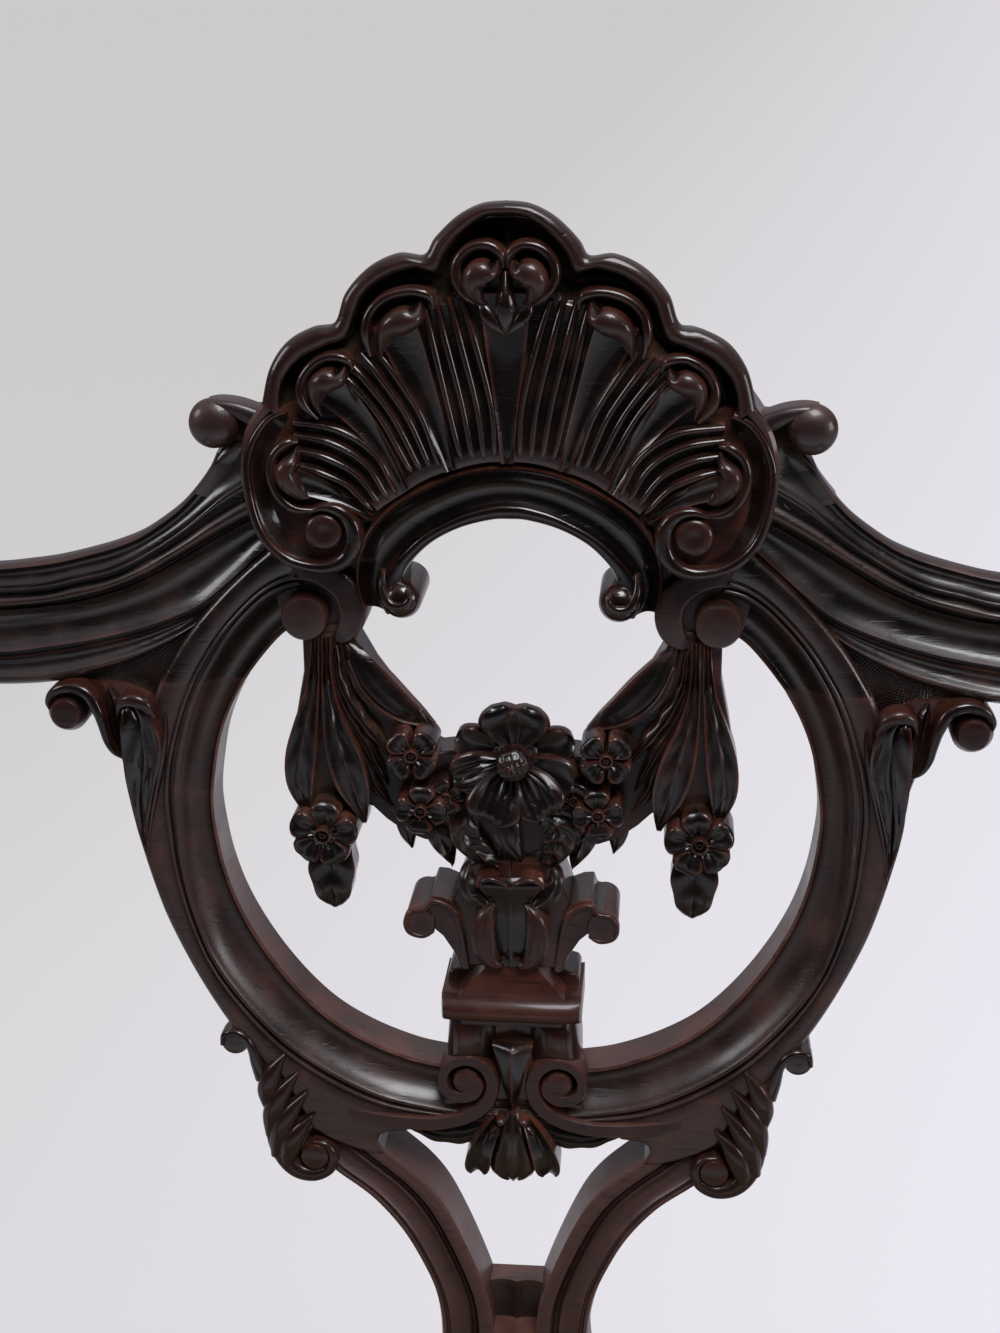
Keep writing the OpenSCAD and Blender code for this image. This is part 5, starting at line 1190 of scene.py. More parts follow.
@dataclass
class Pedestal:
    """The capital, its bar and the rounded block under them.

    Attributes:
        roll: Centre of the capital's side roll.
        bar_top: Upper level of the half-round bar.
        bar_low: Lower level of the bar.
        bar_half: Half its width.
    """

    roll: Pair = (-38, -112)
    bar_top: float = -144.8
    bar_low: float = -157.2
    bar_half: float = 29.6

    def capital(self) -> list[Thing]:
        """Carve the rolls, the stems, the cups and the middle leaf."""
        u, v = self.roll
        roll = turned(self.roll, [(6.6, BACK + 1), (6.6, 5), (6, 6), (0.2, 6)], sides=28)
        outline = [(u - 1, v + 6.5), (u + 3, v + 7), (u + 4.6, v + 11.6), (u + 9, v + 11.2), (u + 14,
            v + 9), (-22.4, -106), (-20, -114), (-19, -124), (-18, -134), (-21, -134), (-24, -126),
            (-28.6, -118.6), (-33, -114.6), (-38, -112)]
        stem = slab(outline, BACK + 1, 4.4, 0.8)
        edge = strip([(u + 5.4, v - 4, 6, 0.7), (u + 1, v - 6.2, 6.4, 1), (u - 4.6, v - 4.4, 6.6, 1.1),
            (u - 6, v + 0.6, 6.8, 1.1), (u - 3.4, v + 5.2, 6.8, 1.1), (u + 2, v + 6.2, 6.6, 1.1),
            (u + 5, v + 9.6, 6, 1.2), (u + 10, v + 8.4, 6, 1.3), (-23.4, -107.6, 6, 1.3), (-21, -116, 5.6,
            1.2), (-19.6, -126, 5, 1), (-18.6, -133, 4.4, 0.8)], rounded(0.8), rows=60, across=7, low=2)
        cup = strip([(-6.4, -101, 8.6, 0.8), (-9.6, -106, 11.4, 3.6), (-11.4, -113.6, 12.2, 4.6),
            (-10.8, -121, 12.2, 4.6), (-8.2, -126.6, 11.6, 3.4), (-4.6, -128.6, 10.6, 1.8), (-2.8, -126.4,
            9.8, 0.6)], blade(lift=-2, rib=-0.5, rib_width=0.2), rows=40, across=13, low=-6)
        core = slab([(0, -84), (-14, -85), (-19.4, -88), (-22.4, -97), (-24.6, -103), (-23.6, -112),
            (-21.8, -122), (-20.4, -133), (0, -133)], BACK, 2, 0.8)
        flank = strip([(-17, -86.6, 2, 1.8), (-18.6, -92, 5, 3.4), (-16, -98, 7, 4), (-11, -102.4, 7.6,
            2.8), (-7, -105, 7, 0.8)], blade(lift=-1.6, rib=0.5), rows=24, across=11, low=-3)
        return [roll, stem, rub(edge), rub(cup), core, flank]

    def middle_leaf(self) -> list[Thing]:
        """Carve the wavy leaf in the capital's middle."""
        leaf = strip([(0, -88.6, 8.8, 13), (0, -91.4, 10.4, 14), (0, -95.4, 9.6, 11.4), (0, -100, 8, 9),
            (0, -108, 6.6, 8), (0, -118, 6, 7.6), (0, -131, 5.4, 6.6)], blade(lift=-1.2, rib=0.7, rim=0.3),
            rows=44, across=17, low=-4)
        lips = [strip([(side * 0.4, -92.4, 10.6, 0.7), (side * 3.6, -90.2, 11.6, 1), (side * 8, -88.6, 12,
            1.1), (side * 11.6, -90, 11.4, 1), (side * 13.6, -93, 9.8, 0.6)], rounded(1), rows=22, across=7,
            low=2) for side in (-1, 1)]
        return [leaf, *lips]

    def bar(self) -> list[Thing]:
        """Turn the roof-shaped slope, the half-round bar and the dark fillet."""
        w, top, low = self.bar_half, self.bar_top, self.bar_low
        mid = (top + low) / 2
        rings = []
        for du, grow in ((-w, 0), (-w + 0.8, 0.55), (-w + 5.4, 1), (w - 5.4, 1), (w - 0.8, 0.55), (w, 0)):
            a = np.linspace(-90, 90, 13) * math.pi / 180
            vv = mid + (top - low) / 2 * np.sin(a)
            nn = 3.5 + 8.0 * np.cos(a) * (0.35 + 0.65 * grow)
            section_v = np.concatenate([vv, [top, low]])
            section_n = np.concatenate([nn, [BACK, BACK]])
            rings.append(on_back(np.full(15, du), section_v, section_n))
        bar = loft(rings, crease=45)
        slope = []
        for vv, half, n in ((-129.6, 9, 4.4), (-131, 10, 5), (-138, 16.6, 6.6), (-145, 22.6, 8),
                (-146, 22.6, 8)):
            slope.append(on_back(np.array([-half, half, half, -half]), np.full(4, float(vv)),
                np.array([n, n, BACK, BACK], float)))
        roof = loft(slope)
        shoulders = slab([(-27.6, -146.4), (-28.4, -142), (-27, -139.6), (-23, -138.6), (-21, -137),
            (21, -137), (23, -138.6), (27, -139.6), (28.4, -142), (27.6, -146.4)], BACK, -6, 1)
        fillet = slab([(-21.6, -155.6), (-21.6, -159.4), (21.6, -159.4), (21.6, -155.6)], BACK, 5.6, 0.5)
        return [rub(bar), roof, shoulders, fillet]

    def block(self) -> list[Thing]:
        """Shape the rounded block wings, the niche between them and the keel in it."""
        wing_rings = []
        for vv, n, half in ((-157, 2, 27.4), (-161, 4.6, 27.6), (-168, 5.2, 28.2), (-176, 4, 28.8),
                (-184, 1, 29), (-192, -3, 28.6)):
            a = np.linspace(0, math.pi, 9)
            uu = -(half + 6) / 2 + (half - 6) / 2 * np.cos(a)
            nn = -6 + (n + 6) * np.sin(math.pi * (a / math.pi) ** 1.3)
            wing_rings.append(on_back(np.concatenate([uu, [-half, -6]]), np.full(11, float(vv)),
                np.concatenate([nn, np.full(2, BACK + 0.6)])))
        wing = loft(wing_rings, crease=50)
        niche = slab([(-14, -157), (-14, -200), (14, -200), (14, -157)], BACK + 0.9, -3, 0)
        keel = strip([(0, -169.6, 5, 8.8), (0, -171.4, 7, 8.6), (0, -178, 8.4, 6.2), (0, -188, 8.6, 4.4),
            (0, -197, 6.4, 2.4), (0, -201, 3, 0.6)], lambda s, t: -5.2 * np.abs(s) ** 0.85 + 0.0 * t,
            rows=26, across=11, low=-8)
        return [wing, mirrored(wing), niche, keel]

    def build(self) -> Thing:
        """Build the whole pedestal."""
        capital = both_sides("capital", self.capital())
        return join("pedestal", [capital, *self.middle_leaf(), *self.bar(), *self.block()])


@dataclass
class Palmette:
    """The scroll pair at the ring's foot and the palmette that drops from it.

    Attributes:
        eye: Centre of the left scroll's eye.
        eye_r: The eye's radius.
    """

    eye: Pair = (-20, -188.2)
    eye_r: float = 5.8

    def scrolls(self) -> list[Thing]:
        """Carve the flat ribbon that leaves the ring's band and winds into the eye."""
        ribbon = strip([(-74, -207, 0.4, 2.2), (-60, -209.6, 1.6, 3.2), (-46, -210.8, 2.4, 3.5),
            (-32, -210, 3, 3.4), (-19.6, -206, 3.6, 3.2), (-11.6, -199, 4, 3.1), (-8.4, -189.6, 4.4, 3),
            (-11.4, -181.6, 4.6, 2.7), (-18.6, -177.6, 4.6, 2.5), (-26.4, -180, 4.6, 2.3), (-30, -186.6,
            4.4, 2.2), (-28.4, -193.4, 4.2, 2.5), (-22.6, -196, 4.2, 2.8), (-17, -194.2, 4.2, 3),
            (-14.6, -190, 4.2, 2.4), (-15.8, -186.6, 4.2, 1.2)], lambda s,
            t: -0.9 * np.clip((np.abs(s) - 0.78) / 0.22, 0, 1) ** 2 + 0.0 * t, rows=90, across=11, low=-9)
        r = self.eye_r
        eye = turned(self.eye, [(r, -8), (r, 3), (r - 0.6, 4), (r * 0.5, 4.5), (0.2, 4.3)], sides=24)
        return [rub(ribbon), rub(eye)]

    def drop(self) -> list[Thing]:
        """Carve the lobes and wings of the palmette."""
        wing = strip([(-9, -211, 2, 4), (-20, -216, 1, 5.2), (-32, -218.4, -1, 4.6), (-43, -217, -4, 3.2),
            (-51, -214.6, -7, 1)], blade(lift=-1.4, rib=-0.8), rows=34, across=11, low=-16, lobes=4,
            lobe=0.16)
        side = strip([(-7, -206, 4, 2.2), (-10.6, -213, 6, 4), (-13.8, -221, 6, 5.2), (-15.2, -228, 4.2,
            5.6), (-15.6, -233, 1.6, 4.6), (-15.8, -235.6, -0.6, 3)], blade(lift=1.2, rib=-1.6, rim=0.8,
            rib_width=0.4), rows=30, across=13, low=-8)
        bead = turned((-5, -206.6), [(2.2, -2), (2.2, 4.6), (1.6, 6), (0.8, 6.8), (0.1, 7)], sides=14)
        shoulder = strip([(-4, -208, 4, 1.4), (-7.4, -212, 6.4, 2.6), (-10, -217, 5.4, 1)], rounded(1.8),
            rows=16, low=-4)
        return [wing, side, bead, shoulder]

    def middle(self) -> list[Thing]:
        """Carve the palmette's middle lobe."""
        def top(s: Grid, t: Grid) -> Grid:
            """Flute the lobe with three ribs."""
            return 0.9 * np.cos(3 * np.pi * s) * np.clip(t * 2.4, 0, 1) - 1.6 * s ** 2
        lobe = strip([(0, -203, 4, 2.8), (0, -211, 7, 5.4), (0, -221, 7.4, 8.8), (0, -229, 6.2, 9.8),
            (0, -235, 3.8, 8), (0, -238.6, 0.4, 4)], top, rows=34, across=19, low=-8)
        back = slab([(-30, -200), (-34, -210), (-20, -219), (-19.4, -232), (-10, -231), (0, -235),
            (10, -231), (19.4, -232), (20, -219), (34, -210), (30, -200)], BACK + 8, -2, 0.8)
        return [lobe, back]

    def build(self) -> Thing:
        """Build the whole palmette."""
        sides = both_sides("palmette_sides", self.scrolls() + self.drop())
        return join("palmette", [sides, *self.middle()])


# Finishes

def new_group(name: str, inputs: dict[str, object], outputs: Sequence[str]) -> Tree:
    """Start a shader node group.

    Args:
        name: The group's name.
        inputs: The default of each input by its name.
        outputs: The names of its outputs.

    Returns:
        The group, with its input and output nodes.
    """
    tree = bpy.data.node_groups.new(name, "ShaderNodeTree")
    for label, default in inputs.items():
        kind = "NodeSocketVector" if isinstance(default, tuple) else "NodeSocketFloat"
        tree.interface.new_socket(name=label, in_out="INPUT", socket_type=kind).default_value = default
    for label in outputs:
        tree.interface.new_socket(name=label, in_out="OUTPUT", socket_type="NodeSocketFloat")
    tree.nodes.new("NodeGroupInput").name = "In"
    tree.nodes.new("NodeGroupOutput").name = "Out"
    return tree


def blank(name: str) -> tuple[Material, Tree, Node]:
    """Start a material, and give it with its node tree and its shader."""
    material = bpy.data.materials.new(name)
    material.use_nodes = True
    return material, material.node_tree, material.node_tree.nodes["Principled BSDF"]


def add(tree: Tree, kind: str, **values: object) -> Node:
    """Add a node, with attributes by name, and inputs by "in_" and their index as a default or a socket."""
    node = tree.nodes.new("ShaderNode" + kind)
    for key, value in values.items():
        if not key.startswith("in_"):
            setattr(node, key, value)
        elif isinstance(value, Socket):
            tree.links.new(value, node.inputs[int(key[3:])])
        else:
            node.inputs[int(key[3:])].default_value = value
    return node


def ramp(tree: Tree, source: Socket, low: float, high: float, to_low: float = 0,
        to_high: float = 1) -> Socket:
    """Map a value from one range to another, held at the ends."""
    return add(tree, "MapRange", in_0=source, in_1=low, in_2=high, in_3=to_low, in_4=to_high).outputs[0]


def combine(tree: Tree, how: str, a: object, b: object = 0.0) -> Socket:
    """Put two values or sockets through a Math node."""
    return add(tree, "Math", operation=how, in_0=a, in_1=b).outputs[0]


def times(tree: Tree, a: object, b: object) -> Socket:
    """Multiply two values or sockets."""
    return combine(tree, "MULTIPLY", a, b)


def tint(tree: Tree, share: Socket, a: object, b: object) -> Socket:
    """Mix two colours or colour sockets by a share."""
    return add(tree, "Mix", data_type="RGBA", in_0=share, in_6=a, in_7=b).outputs[2]


def rgb(r: float, g: float, b: float) -> Colour:
    """Give a colour its alpha."""
    return (r, g, b, 1)


def wear_and_shade_group() -> Tree:
    """Build the group that finds rubbed edges, the crevices that keep wax and dust, and the open faces that
    get painted light.
    """
    tree = new_group("edges_crevices_and_shade", {"Grain Scale": 60.0}, ["Edge", "Crevice", "Mottle", "Open"])
    start, end = tree.nodes["In"], tree.nodes["Out"]
    link = tree.links.new
    place = add(tree, "TexCoord")
    geometry = add(tree, "NewGeometry")
    patches = add(tree, "TexNoise", in_3=5)
    link(place.outputs["Object"], patches.inputs["Vector"])
    link(start.outputs["Grain Scale"], patches.inputs["Scale"])
    broken = ramp(tree, patches.outputs[0], 0.35, 0.7)
    edge = ramp(tree, geometry.outputs["Pointiness"], 0.515, 0.60)
    worn = times(tree, edge, combine(tree, "ADD", times(tree, broken, 0.6), 0.4))
    shut = add(tree, "AmbientOcclusion", samples=5, in_1=0.02)
    crevice = ramp(tree, shut.outputs["AO"], 0.38, 0.08)
    # Painted light: faces that ambient occlusion finds open are lifted to a lighter colour, so hollows and
    # crevices stay darker as painted shade.
    unshaded_share = ramp(tree, shut.outputs["AO"], 0.55, 0.95)
    link(unshaded_share, end.inputs["Open"])
    link(worn, end.inputs["Edge"])
    link(crevice, end.inputs["Crevice"])
    link(patches.outputs[0], end.inputs["Mottle"])
    return tree


def grain_group() -> Tree:
    """Build the group that draws wood grain along one axis of the piece."""
    tree = new_group("wood_grain", {"Along": (1, 1, 1), "Pores": 1.0}, ["Figure", "Pore"])
    start, end = tree.nodes["In"], tree.nodes["Out"]
    link = tree.links.new
    place = add(tree, "TexCoord")
    stretch = add(tree, "VectorMath", operation="MULTIPLY", in_0=place.outputs["Object"],
        in_1=start.outputs["Along"])
    figure = add(tree, "TexNoise", in_2=22, in_3=3, in_8=0.6)
    pore = add(tree, "TexNoise", in_2=420, in_3=2)
    for node in (figure, pore):
        link(stretch.outputs[0], node.inputs["Vector"])
    link(figure.outputs[0], end.inputs["Figure"])
    fine = times(tree, ramp(tree, pore.outputs[0], 0.56, 0.72), start.outputs["Pores"])
    link(fine, end.inputs["Pore"])
    return tree


@dataclass(frozen=True)
class Wood:
    """A wood finish.

    Attributes:
        name: The material's name.
        deep: Dark colour of the grain's figure and the pores; with the body colour it stays in the hollows
            as painted shade.
        body: Colour on plain faces.
        worn: Colour on rubbed edges.
        wax: Colour of what lies in the crevices.
        wax_share: How much of it shows.
        along: Stretch of the grain by axis; the smallest number is the grain's way.
        rough: Roughness on plain faces.
        coat: Weight of the polish.
        pores: How strong the pores are.
        ruddy: How much of the worn colour is painted on open faces, as painted light away from the hollows.
        gleam: Roughness of the polish.
        rubbed: Colour of the pieces that are rubbed all over.
        shine: Strength of the reflection under the polish.
    """

    name: str
    deep: Colour
    body: Colour
    worn: Colour
    wax: Colour
    wax_share: float = 0.12
    along: tuple[float, float, float] = (0.12, 1, 1)
    rough: float = 0.32
    coat: float = 0.55
    pores: float = 1.0
    ruddy: float = 0.2
    gleam: float = 0.13
    rubbed: Colour = (0.0165, 0.0052, 0.004, 1)
    shine: float = 0.5

    def make(self) -> Material:
        """Build the material."""
        material, tree, shader = blank(self.name)
        link = tree.links.new
        wear_and_shade = shared(tree, "edges_crevices_and_shade", wear_and_shade_group)
        grain = shared(tree, "wood_grain", grain_group)
        grain.inputs["Along"].default_value = self.along
        grain.inputs["Pores"].default_value = self.pores
        figured = tint(tree, ramp(tree, grain.outputs["Figure"], 0.3, 0.72), self.deep, self.body)
        ruddy = tuple(self.ruddy * c for c in self.worn[:3]) + (1,)
        # Painted light: open faces take the ruddy colour, and the hollows keep the darker grain colour as
        # painted shade.
        painted_open_light = times(tree, wear_and_shade.outputs["Open"], ramp(tree, wear_and_shade.outputs["Mottle"], 0.35, 0.7, 0.1, 1))
        raised = tint(tree, painted_open_light, figured, ruddy)
        share = add(tree, "Attribute", attribute_name="rubbed").outputs["Fac"]
        # The rubbed pieces' warmer brown is real wear; it is painted fuller on open faces and weaker in the
        # hollows, as painted shade.
        raised = tint(tree, times(tree, share, ramp(tree, wear_and_shade.outputs["Open"], 0, 1, 0.35, 1)), raised,
            self.rubbed)
        mottled = tint(tree, ramp(tree, wear_and_shade.outputs["Mottle"], 0.56, 0.8, 0, 0.25), raised, self.worn)
        edged = tint(tree, wear_and_shade.outputs["Edge"], mottled, self.worn)
        dark = tint(tree, times(tree, grain.outputs["Pore"], 0.5), edged, self.deep)
        waxed = tint(tree, times(tree, times(tree, wear_and_shade.outputs["Crevice"], self.wax_share), ramp(tree,
            wear_and_shade.outputs["Mottle"], 0.45, 0.62)), dark, self.wax)
        link(waxed, shader.inputs["Base Color"])
        rough = ramp(tree, wear_and_shade.outputs["Mottle"], 0.3, 0.75, self.rough - 0.08, self.rough + 0.14)
        dull = combine(tree, "ADD", rough, times(tree, combine(tree, "MAXIMUM", share,
            wear_and_shade.outputs["Crevice"]), 0.1))
        link(dull, shader.inputs["Roughness"])
        bump = add(tree, "Bump", in_0=0.25, in_1=0.0004)
        link(combine(tree, "SUBTRACT", times(tree, grain.outputs["Figure"], 0.5), grain.outputs["Pore"]),
            bump.inputs["Height"])
        link(bump.outputs[0], shader.inputs["Normal"])
        link(ramp(tree, share, 0, 1, self.coat, 0.7 * self.coat), shader.inputs["Coat Weight"])
        shader.inputs["Coat Roughness"].default_value = self.gleam
        shader.inputs["Specular IOR Level"].default_value = self.shine
        return material


@dataclass(frozen=True)
class Metal:
    """A dull metal finish: its name, colour and roughness."""

    name: str
    colour: Colour
    rough: float = 0.4

    def make(self) -> Material:
        """Build the material."""
        material, tree, shader = blank(self.name)
        link = tree.links.new
        wear_and_shade = shared(tree, "edges_crevices_and_shade", wear_and_shade_group)
        wear_and_shade.inputs["Grain Scale"].default_value = 240.0
        tarnish = tuple(0.45 * c for c in self.colour[:3]) + (1,)
        link(tint(tree, ramp(tree, wear_and_shade.outputs["Mottle"], 0.4, 0.65), self.colour, tarnish),
            shader.inputs["Base Color"])
        link(ramp(tree, wear_and_shade.outputs["Mottle"], 0.3, 0.7, self.rough - 0.1, self.rough + 0.15),
            shader.inputs["Roughness"])
        shader.inputs["Metallic"].default_value = 1.0
        return material


def shared(tree: Tree, name: str, build: Callable[[], Tree]) -> Node:
    """Add a node of the group of a name, which is built on its first use."""
    return add(tree, "Group", node_tree=bpy.data.node_groups.get(name) or build())


DEEP = rgb(0.0014, 0.001, 0.001)
BROWN = rgb(0.0052, 0.0022, 0.0019)
WORN = rgb(0.075, 0.021, 0.013)
WAX = rgb(0.36, 0.26, 0.15)
CARVED = Wood("mahogany_carved", DEEP, rgb(0.0036, 0.0017, 0.0015), WORN, WAX, wax_share=0.16, rough=0.27,
    coat=0.75, ruddy=0.05, gleam=0.08, shine=0.25)
# Satin finish for the ring and struts: the rougher, thinner polish is real, and the body, worn and rubbed
# colours are painted lighter than the other mahogany, as painted light from above.
SATIN_PAINTED_LIGHT = Wood("mahogany_satin", rgb(0.006, 0.0026, 0.002), rgb(0.026, 0.0105, 0.009), rgb(0.13, 0.048,
    0.034), WAX, wax_share=0.1, rough=0.4, coat=0.32, ruddy=0.32, gleam=0.2, rubbed=rgb(0.06, 0.026, 0.022))
FLORAL = Wood("mahogany_flowers", DEEP, rgb(0.0036, 0.0017, 0.0015), rgb(0.1, 0.03, 0.019), WAX,
    wax_share=0.16, rough=0.34, coat=0.5, ruddy=0.05, gleam=0.15, rubbed=rgb(0.025, 0.0082, 0.006),
    shine=0.25)
POLISH = Wood("mahogany_polish", DEEP, BROWN, WORN, WAX)
POLISH_UPRIGHT = Wood("mahogany_upright", DEEP, BROWN, WORN, WAX, along=(1, 1, 0.12))
POLISH_DEEP = Wood("mahogany_front_to_back", DEEP, BROWN, WORN, WAX, along=(1, 0.12, 1))
BEECH = Wood("beech_unfinished", rgb(0.34, 0.20, 0.10), rgb(0.52, 0.34, 0.19), rgb(0.62, 0.44, 0.27),
    rgb(0.25, 0.17, 0.10), rough=0.62, coat=0, pores=0.5)
STEEL = Metal("aged_steel", rgb(0.36, 0.36, 0.37))


def dress(obj: Thing, material: Material) -> None:
    """Give an object one material."""
    obj.data.materials.clear()
    obj.data.materials.append(material)


def show(obj: Thing, material: Material, nodes: Sequence[str],
        body: str = BODY) -> None:
    """Dress a finished piece, set it on its body and take the place of its CAD nodes.

    Args:
        obj: The finished piece.
        material: Its material.
        nodes: The CAD nodes it stands for.
        body: The CAD body it rides on.
    """
    dress(obj, material)
    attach(obj, body)
    if nodes:
        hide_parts(*nodes)
    log.info("%s: %d faces", obj.name, len(obj.data.polygons))


# The legs, arms and rails

FRONT_W = 327.5
SPLAY = 27.5 / 480.0
LEG_OUTER = [(0, 372), (0, 362), (-5, 350), (-12, 336), (-16.4, 318), (-16.4, 304), (-12.6, 284), (-3, 248),
    (10.5, 194), (17.6, 140), (20.6, 100), (19, 76), (15, 60), (13, 50), (16, 40)]
LEG_INNER = [(52, 372), (52, 360), (50, 345), (48, 325), (46.4, 305), (45.4, 285), (43.4, 240), (44.6, 190),
    (48, 145), (50.6, 104), (50, 80), (47, 62), (45, 50), (43, 40)]


def from_cad(frame: dict, node: str, name: str) -> Thing:
    """Copy a CAD node's mesh into a new object and merge its loose triangles.

    Args:
        node: The node's name.
        name: The copy's name.

    Returns:
        The copy, with faces outwards.
    """
    source = frame["nodes"][node]
    obj = bpy.data.objects.new(name, source.data.copy())
    bpy.context.scene.collection.objects.link(obj)
    obj.data.name = name
    clean_up(obj, 2e-5)
    return obj


def tube(path: Points, side: Sequence[float], flat: float = 1, rows: int = 26, sides: int = 12) -> Thing:
    """Carve a round stem that bends in one plane.

    Args:
        path: Points (x, y, z, radius) along its middle.
        side: The direction square to the plane that it bends in.
        flat: Its width along side as a share of its depth.
        rows: How many sections it has.
        sides: How many points each section has.

    Returns:
        The stem.
    """
    line = curve(path, rows)
    way = np.gradient(line[:, :3], axis=0)
    way /= np.linalg.norm(way, axis=1)[:, None]
    across = np.asarray(side, float) / np.linalg.norm(side)
    out = np.cross(way, across)
    angle = around(sides)
    rings = []
    for p, o in zip(line, out):
        spot = p[:3] + p[3] * (np.cos(angle)[:, None] * o + flat * np.sin(angle)[:, None] * across)
        rings.append(in_chair(*spot.T))
    return loft(rings, crease=60)


@dataclass
class FrontLeg:
    """A front leg: post, cabriole, carved knee, and a foot that holds a ball.

    Attributes:
        ball: Distance of the ball's middle inside the post's outer faces, and its height.
        ball_r: The ball's radius.
        post_end: Height in metres at which the squared post gives way to the cabriole.
    """

    ball: Pair = (27, 27)
    ball_r: float = 30.0
    post_end: float = 0.364

    def middle(self, z: Grid) -> tuple[Grid, Grid]:
        """Give the leg's middle and half width, from the post's outer faces, at heights."""
        outer, inner = curve(LEG_OUTER, 160), curve(LEG_INNER, 160)
        a = np.interp(-z, -outer[:, 1], outer[:, 0])
        b = np.interp(-z, -inner[:, 1], inner[:, 0])
        return (a + b) / 2, (b - a) / 2

    def skin(self, u: Grid, v: Grid, n: Grid) -> Grid:
        """Turn millimetres round the leg's outer corner, height and way out of it into places."""
        u, v, n = one_shape(u, v, n)
        centre, half = self.middle(v)
        angle = math.radians(225) + u / np.maximum(half, 8)
        power = np.interp(v, [40, 110, 250, 330, 372], [2.1, 2.2, 2.8, 3.6, 9])
        c, s = np.cos(angle), np.sin(angle)
        reach = half / (np.abs(c) ** power + np.abs(s) ** power) ** (1 / power) + n
        return in_chair(-FRONT_W + centre + reach * c, centre + reach * s, v)

    def post(self, frame: dict) -> Thing:
        """Keep the squared post with its rebate and mortises, cut off above the knee."""
        post = from_cad(frame, "front_leg_left", "leg_post")
        take(post)
        bpy.ops.object.mode_set(mode="EDIT")
        bpy.ops.mesh.select_all(action="SELECT")
        bpy.ops.mesh.bisect(plane_co=(0, 0, self.post_end), plane_no=(0, 0, 1), use_fill=True,
            clear_inner=True)
        bpy.ops.object.mode_set(mode="OBJECT")
        eased(post, 0.8)
        return post

    def cabriole(self) -> Thing:
        """Shape the leg from the post to the foot."""
        rings = []
        for z in np.concatenate([[367, 362], np.linspace(356, 44, 70)]):
            reach = around(40)
            centre, half = self.middle(np.array([z]))
            rings.append(self.skin(reach * max(float(half[0]), 8), np.full(40, z), np.zeros(40)))
        return loft(rings, crease=60)

    def knee(self) -> list[Thing]:
        """Carve the leaves on the knee."""
        out = [strip([(0, 364, 0.6, 8), (0, 350, 3, 17), (0, 326, 4, 22), (0, 300, 3.4, 18), (0, 275, 2.6,
            12), (0, 250, 1.8, 6.5), (0, 230, 1, 1)], blade(lift=-1.6, rib=1.6, veins=6, vein=0.9,
            slant=1.1), rows=70, across=21, low=-3, lobes=6, lobe=0.2, page=self.skin)]
        for side in (-1, 1):
            out.append(strip([(side * 14, 362, 0.6, 5), (side * 24, 348, 2.6, 8), (side * 31, 328, 3, 8),
                (side * 32, 306, 2.2, 5.6), (side * 27, 288, 0.8, 1)], blade(lift=-1.2, rib=-1, veins=4,
                vein=0.5), rows=44, across=13, low=-3, lobes=4, lobe=0.16, page=self.skin))
            path = scroll_path((side * 33, 351), 90 - side * 90, side * 1.2, 7.5, 1.6, 1.6, 3.4, 1.8, 1.3)
            out.append(strip(path, rounded(1.4), rows=40, across=7, low=-3, page=self.skin))
        return out

    def foot(self) -> list[Thing]:
        """Turn the ball and set the four claws on it."""
        c, z = self.ball
        r = self.ball_r
        steps = [(12.6, 0), (14, 0)]
        steps += [(r * math.cos(a), z + r * math.sin(a)) for a in np.linspace(-1.08, 1.45, 17)]
        ball = turned((0, 0), steps, sides=32, page=lambda u, v, n: in_chair(-FRONT_W + c + u, c + v,
            np.asarray(n, float)), crease=60)
        out = [ball]
        for turn in (225, 315, 135, 45):
            a = math.radians(turn)
            d = (math.cos(a), math.sin(a))
            reach = [(8, 74, 9), (17, 66, 9), (25, 57, 7.6), (30, 46, 6), (32.4, 34, 6.2), (31.8, 22, 4.6),
                (28.6, 11, 4.4), (24.6, 4.6, 2.6)]
            if turn == 45:
                reach = [(4, 76, 10), (12, 66, 9), (20, 54, 7), (24, 40, 6.4), (27, 26, 5), (26, 12, 3.6),
                    (23.6, 4.6, 2.4)]
            ankle = 33.0
            path = []
            for rr, zz, width in reach:
                mix = min(max((zz - 40) / 34, 0), 1)
                base = c + (ankle - c) * mix
                path.append((-FRONT_W + base + d[0] * rr, base + d[1] * rr, zz, width))
            out.append(tube(path, (-d[1], d[0], 0), flat=0.8, rows=34, sides=14))
        return out

    def build(self, frame: dict) -> Thing:
        """Build the left front leg."""
        return join("front_leg_carved_left", [self.post(frame), self.cabriole(), *self.knee(),
            *self.foot()])


@dataclass
class Armrest:
    """An arm with its scrolled hand, and the support under it.

    Attributes:
        hand: The scroll's centre, front to back and up.
        hand_r: Its radius.
        hand_x: Places of its outer and inner faces.
    """

    hand: Pair = (110, 664)
    hand_r: float = 19.5
    hand_x: Pair = (-347, -303.5)

    def arm(self, frame: dict) -> Thing:
        """Shape the arm and carve its hand."""
        arm = from_cad(frame, "arm_left", "arm_wood")
        eased(arm, 3, 3, 30)
        pieces = [arm]
        for x, sign in zip(self.hand_x, (-1, 1)):
            def face(u: Grid, v: Grid, n: Grid, x: float = x, sign: int = sign) -> Grid:
                """Place millimetres on the hand's side face."""
                u, v, n = one_shape(u, v, n)
                return in_chair(x + sign * n - 0.16 * u, self.hand[0] + u, self.hand[1] + v)
            pieces.append(volute((0, 0), self.hand_r, -6, 1.4, start=90, turns=-1.6, rise=2.2, page=face))
        return join("arm_carved_left", pieces)

    def support(self, frame: dict) -> Thing:
        """Shape the support."""
        wood = from_cad(frame, "arm_support_left", "arm_support_carved_left")
        eased(wood, 2.6, 3, 30)
        return wood


